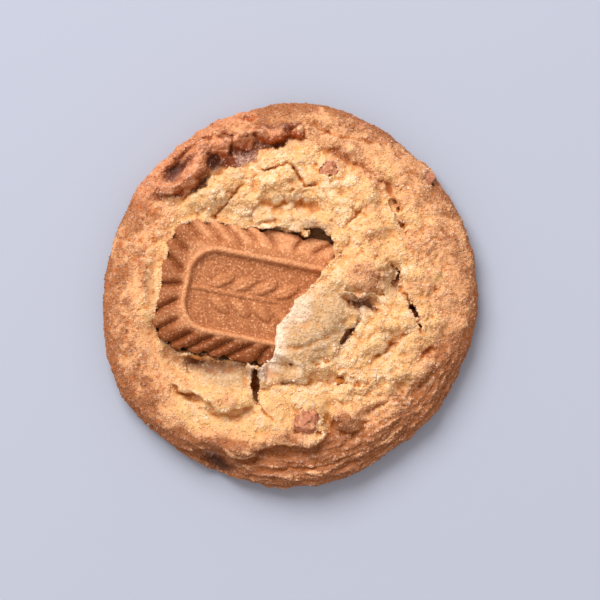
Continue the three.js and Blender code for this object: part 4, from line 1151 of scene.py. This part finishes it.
# Painted highlight: the tops of the small bumps are paler.
tone = reckoned(nodes, links, "MULTIPLY_ADD", crests, -0.4, tone)
tone = reckoned(nodes, links, "MULTIPLY_ADD", mask_node(nodes, "darker grain"), 0.06, tone)
crust_ramp = nodes.new("ShaderNodeValToRGB")
crust_ramp.color_ramp.interpolation = "EASE"
steps = ((0.0, CRUMB_PALE), (0.30, CRUMB_GOLD), (0.62, CRUST_TAN), (0.95, CRUST_BROWN))
while len(crust_ramp.color_ramp.elements) < len(steps):
    crust_ramp.color_ramp.elements.new(0.5)
for element, (position, colour) in zip(crust_ramp.color_ramp.elements, steps):
    element.position = position
    element.color = (*colour, 1)
links.new(tone, crust_ramp.inputs["Fac"])
colour = crust_ramp.outputs["Color"]
# The torn dough is whiter at its torn edge, and on the tops of its bumps as a painted highlight.
whiter = reckoned(nodes, links, "MULTIPLY", crests, 1.3)
whiter = reckoned(nodes, links, "MULTIPLY_ADD", mask_node(nodes, "torn edge"), 0.75, whiter)
whiter = reckoned(nodes, links, "MULTIPLY_ADD", grain.outputs["Crests"], 0.16, whiter)
raw_tone = blended(nodes, links, whiter, RAW_CREAM, RAW_WHITE)
torn = reckoned(nodes, links, "MULTIPLY", mask_node(nodes, "raw"), 0.80)
colour = blended(nodes, links, torn, colour, raw_tone)
stained = reckoned(nodes, links, "MULTIPLY", mask_node(nodes, "stain"), 0.75)
colour = blended(nodes, links, stained, colour, CHIP_RED)
colour = blended(nodes, links, mask_node(nodes, "specks"), colour, SPECK)
# Painted shade: warm orange-brown in the small crevices and the hollows, browner where the crust is browner.
notch_shade = reckoned(nodes, links, "MULTIPLY", notches, 2.6)
not_raw = reckoned(nodes, links, "MULTIPLY_ADD", mask_node(nodes, "raw"), -0.5, 1.0)
notch_shade = reckoned(nodes, links, "MULTIPLY", notch_shade, not_raw)
warm_shade_tone = blended(nodes, links, mask_node(nodes, "browning_and_shade"), SHADE_IN_CRACKS, BROWNED_SHADE_IN_CRACKS)
colour = blended(nodes, links, reckoned(nodes, links, "MULTIPLY", notch_shade, 0.8), colour, warm_shade_tone)
colour = blended(nodes, links, reckoned(nodes, links, "MULTIPLY", hollows, 2.5), colour, warm_shade_tone)
mottled = reckoned(nodes, links, "MULTIPLY", grain.outputs["Patches"], 0.7)
caramel_tone = blended(nodes, links, mottled, CARAMEL_TAN, CARAMEL_BROWN)
# Painted shade: the caramel is dark between and around its lobes and in its cracks.
crowned = reckoned(nodes, links, "MULTIPLY_ADD", mask_node(nodes, "crown"), 2.0, -0.35)
caramel_tone = blended(nodes, links, crowned, CARAMEL_SHADE, caramel_tone)
caramel_crack_shade = reckoned(nodes, links, "MULTIPLY", notches, 2.0)
caramel_tone = blended(nodes, links, caramel_crack_shade, caramel_tone, CARAMEL_SHADE)
# Painted highlight: the tops of the caramel's bumps are paler tan.
paler = reckoned(nodes, links, "MULTIPLY", crests, grain.outputs["Crests"])
paler = reckoned(nodes, links, "MULTIPLY", paler, 2.0)
caramel_tone = blended(nodes, links, reckoned(nodes, links, "MULTIPLY", paler, 0.6), caramel_tone, CRUST_TAN)
colour = blended(nodes, links, mask_node(nodes, "caramel"), colour, caramel_tone)
# Grey crumb, darkest between its grains, with painted shade in the hollow under the browned lump.
grey_tone = blended(nodes, links, grain.outputs["Crests"], PIT_SHADE, GREY_CRUMB)
colour = blended(nodes, links, mask_node(nodes, "grey_crumb_and_shade"), colour, grey_tone)
# Painted shade in the pits and gaps.
colour = blended(nodes, links, mask_node(nodes, "pit"), colour, PIT_SHADE)
colour = blended(nodes, links, mask_node(nodes, "glaze"), colour, GLAZE)
# Painted shade in the deepest hollows.
colour = blended(nodes, links, mask_node(nodes, "deep"), colour, DEEP_SHADE)
# Painted highlight: pale glints on the tops of the bumps.
glints = reckoned(nodes, links, "MULTIPLY", paler, 0.5)
colour = blended(nodes, links, glints, colour, PALE_GRAIN_AND_HIGHLIGHT)
# Some grains are paler at random, less so on the browned crust.
browned = reckoned(nodes, links, "MULTIPLY_ADD", mask_node(nodes, "browning_and_shade"), -0.65, 0.85)
browned = reckoned(nodes, links, "MULTIPLY_ADD", mask_node(nodes, "raw"), -0.5, browned)
paler = reckoned(nodes, links, "MULTIPLY", mask_node(nodes, "paler grain"), browned)
colour = blended(nodes, links, paler, colour, blended(nodes, links, 0.7, colour, PALE_GRAIN_AND_HIGHLIGHT))
links.new(colour, shader.inputs["Base Color"])
shine = reckoned(nodes, links, "MULTIPLY_ADD", mask_node(nodes, "caramel"), -0.18, 0.66)
shine = reckoned(nodes, links, "MULTIPLY_ADD", mask_node(nodes, "glaze"), -0.22, shine)
links.new(shine, shader.inputs["Roughness"])
shader.inputs["Specular IOR Level"].default_value = 0.05
gloss = reckoned(nodes, links, "MULTIPLY", glints, 2.6)
gloss = reckoned(nodes, links, "MULTIPLY_ADD", mask_node(nodes, "caramel"), 0.35, gloss)
gloss = reckoned(nodes, links, "MULTIPLY_ADD", mask_node(nodes, "glaze"), 0.5, gloss)
links.new(gloss, shader.inputs["Coat Weight"])
shader.inputs["Coat Roughness"].default_value = 0.55
shader.inputs["Subsurface Weight"].default_value = 0.12
shader.inputs["Subsurface Radius"].default_value = (1.0, 0.6, 0.4)
shader.inputs["Subsurface Scale"].default_value = 0.6 * MM
bumped(nodes, links, shader, grain.outputs["Height"], 0.32 * MM)
dough.data.materials.append(dough_material)
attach(dough, "root")
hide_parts("baked_dough")


# Grains of the crust. Sugar and flour bake into small hard grains, which stand half out of the dough all
# over it: loose and coarse on the broken crumb, and finer and flatter on the browned rim. They are dough too,
# but a grain is too small for light to scatter inside it.
grain_material = dough_material.copy()
grain_material.name = "grains of baked dough"
grain_material.node_tree.nodes["Principled BSDF"].inputs["Subsurface Weight"].default_value = 0


def read_mask(mesh, name):
    """The values that a mask holds, one for each vertex."""
    values = np.empty(len(mesh.vertices))
    mesh.attributes[name].data.foreach_get("value", values)
    return values


def strewn(name, chance, smallest, largest, sunk, seed, count, coarse):
    """A piece of many small grains, sunk in the dough where a chance from 0 to 1 puts them."""
    shape = bmesh.new()
    if coarse:
        bmesh.ops.create_icosphere(shape, subdivisions=1, radius=1)
    else:
        bmesh.ops.create_cube(shape, size=1.5)
        bmesh.ops.triangulate(shape, faces=shape.faces)
    base = np.array([vertex.co[:] for vertex in shape.verts])
    base_faces = np.array([[vertex.index for vertex in face.verts] for face in shape.faces])
    shape.free()
    dice = np.random.default_rng(seed)
    dough_places = read_places(dough.data)
    dough_normals = read_normals(dough.data)
    chance = chance * (dough_places[:, 2] > 0.9) * (read_mask(dough.data, "deep") < 0.7)
    rows = dice.choice(len(dough_places), count, replace=False, p=chance / chance.sum())
    radius = smallest + (largest - smallest) * dice.random(count) ** 2
    turns = np.linalg.qr(dice.normal(size=(count, 3, 3)))[0]
    turns *= np.sign(np.linalg.det(turns))[:, None, None]
    corners = base[None] * dice.uniform(0.75, 1.25, (count, len(base), 1))
    corners = corners * dice.uniform(0.75, 1.3, (count, 1, 3)) * radius[:, None, None]
    corners = corners @ turns
    centres = dough_places[rows] + dice.normal(0, 0.1, (count, 3))
    centres -= dough_normals[rows] * (sunk * radius)[:, None]
    corners += centres[:, None]
    corners[:, :, 2] = np.maximum(corners[:, :, 2], 0.02)
    faces = base_faces[None] + (np.arange(count) * len(base))[:, None, None]
    mesh = bpy.data.meshes.new(name)
    mesh.from_pydata((corners.reshape(-1, 3) * MM).tolist(), [], faces.reshape(-1, 3).tolist())
    for mask in dough_masks:
        write_mask(mesh, mask, np.repeat(read_mask(dough.data, mask)[rows], len(base)))
    kind = dice.random(count)
    write_mask(mesh, "paler grain", np.repeat(np.clip((kind - 0.35) / 0.65, 0, 1), len(base)))
    write_mask(mesh, "darker grain", np.repeat(np.clip((0.25 - kind) / 0.25, 0, 1), len(base)))
    mesh.polygons.foreach_set("use_smooth", np.full(len(mesh.polygons), coarse))
    mesh.materials.append(grain_material)
    piece = bpy.data.objects.new(name, mesh)
    bpy.context.collection.objects.link(piece)
    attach(piece, "root")


top_side = ramp(read_normals(dough.data)[:, 2], 0.1, 0.6)
broken = np.clip(0.12 + crumbly - 0.3 * caramel, 0, 1)
any_side = 0.06 + 0.94 * top_side
unbroken = 1 - 0.75 * broken
strewn("coarse_grains_of_the_crumb", top_side * broken, 0.22, 0.50, 0.68, 5, 9900, True)
strewn("fine_grains_of_the_crumb", top_side * (0.2 + 0.8 * broken), 0.15, 0.30, 0.60, 6, 16500, False)
strewn("fine_grains_of_the_rim", any_side * unbroken, 0.14, 0.26, 0.74, 7, 16500, False)
strewn("fine_grains_all_over", any_side, 0.14, 0.26, 0.70, 8, 16500, False)

# The crust's mesh is thinned where it is plain, once the grains have taken their places from it
CRUST_KEPT = 0.585
thinned = dough.modifiers.new("thinned", "DECIMATE")
thinned.ratio = CRUST_KEPT
fixed(dough)


# Broken chips. Pieces of the same dark biscuit, snapped by hand and stirred into the dough before baking,
# so only their rough tops show in the crust.
CHIPS = {
    "chip_of_biscuit_front": ("biscuit_chip_front", 0, 1),
    "chip_of_biscuit_right": ("biscuit_chip_right", 0.6, 2),
    "chip_of_biscuit_top": ("biscuit_chip_top", 0, 3),
}
CHIP_FACES = 11
CHIP_TAN = (0.40, 0.130, 0.060)
CHIP_PINK = (0.62, 0.27, 0.15)
CHIP_HOLLOW_SHADE = (0.26, 0.075, 0.03)

chip_material, nodes, links, shader = new_material("broken biscuit")
grain = placed_grain(nodes, 2300, 500)
colour = blended(nodes, links, grain.outputs["Patches"], CHIP_TAN, CHIP_RED)
pinker = reckoned(nodes, links, "MULTIPLY", grain.outputs["Crests"], 0.45)
colour = blended(nodes, links, pinker, colour, CHIP_PINK)
# Painted shade: the chip is browner in its hollows.
sunk = reckoned(nodes, links, "SUBTRACT", mask_node(nodes, "hollow"), 0.5)
colour = blended(nodes, links, reckoned(nodes, links, "MULTIPLY", sunk, 2.4), colour, CHIP_HOLLOW_SHADE)
dust = placed_grain(nodes, 900, 700)
dusted = reckoned(nodes, links, "MULTIPLY_ADD", dust.outputs["Patches"], 3.0, -1.9)
colour = blended(nodes, links, reckoned(nodes, links, "MULTIPLY", dusted, 0.6), colour, CRUMB_GOLD)
links.new(colour, shader.inputs["Base Color"])
shader.inputs["Roughness"].default_value = 0.7
bumped(nodes, links, shader, grain.outputs["Height"], 0.3 * MM)

for name, (node, inward, seed) in CHIPS.items():
    dice = random.Random(seed)
    centre, spread = middle_and_half(node)
    chip_mesh = bpy.data.meshes.new(name)
    shape = bmesh.new()
    bmesh.ops.create_icosphere(shape, subdivisions=5, radius=1)
    shape.to_mesh(chip_mesh)
    shape.free()
    chip = bpy.data.objects.new(name, chip_mesh)
    bpy.context.collection.objects.link(chip)
    places = read_places(chip_mesh) * MM
    for k in range(CHIP_FACES):
        face = Vector((dice.gauss(0, 1), dice.gauss(0, 1), dice.gauss(0.2, 1))).normalized()
        over = np.maximum(places @ np.array(face) - dice.uniform(0.62, 0.8), 0)
        places -= over[:, None] * np.array(face)
    places /= np.abs(places).max(axis=0)
    places *= spread
    places += 0.55 * np.column_stack([clouds(places, 1.7, seed + 60 + k) for k in range(3)])
    places += 0.12 * np.column_stack([clouds(places, 0.5, seed + 70 + k) for k in range(3)])
    places = np.clip(places, -spread, spread)
    places[:, :2] *= 1 - 0.18 * inward
    centre[:2] *= 1 - inward / np.hypot(*centre[:2])
    write_places(chip_mesh, places + centre)
    write_mask(chip_mesh, "hollow", 0.5 + 2.0 * sunken(chip, 8))
    chip_mesh.polygons.foreach_set("use_smooth", np.ones(len(chip_mesh.polygons), bool))
    chip_mesh.materials.append(chip_material)
    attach(chip, "root")
    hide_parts(node)
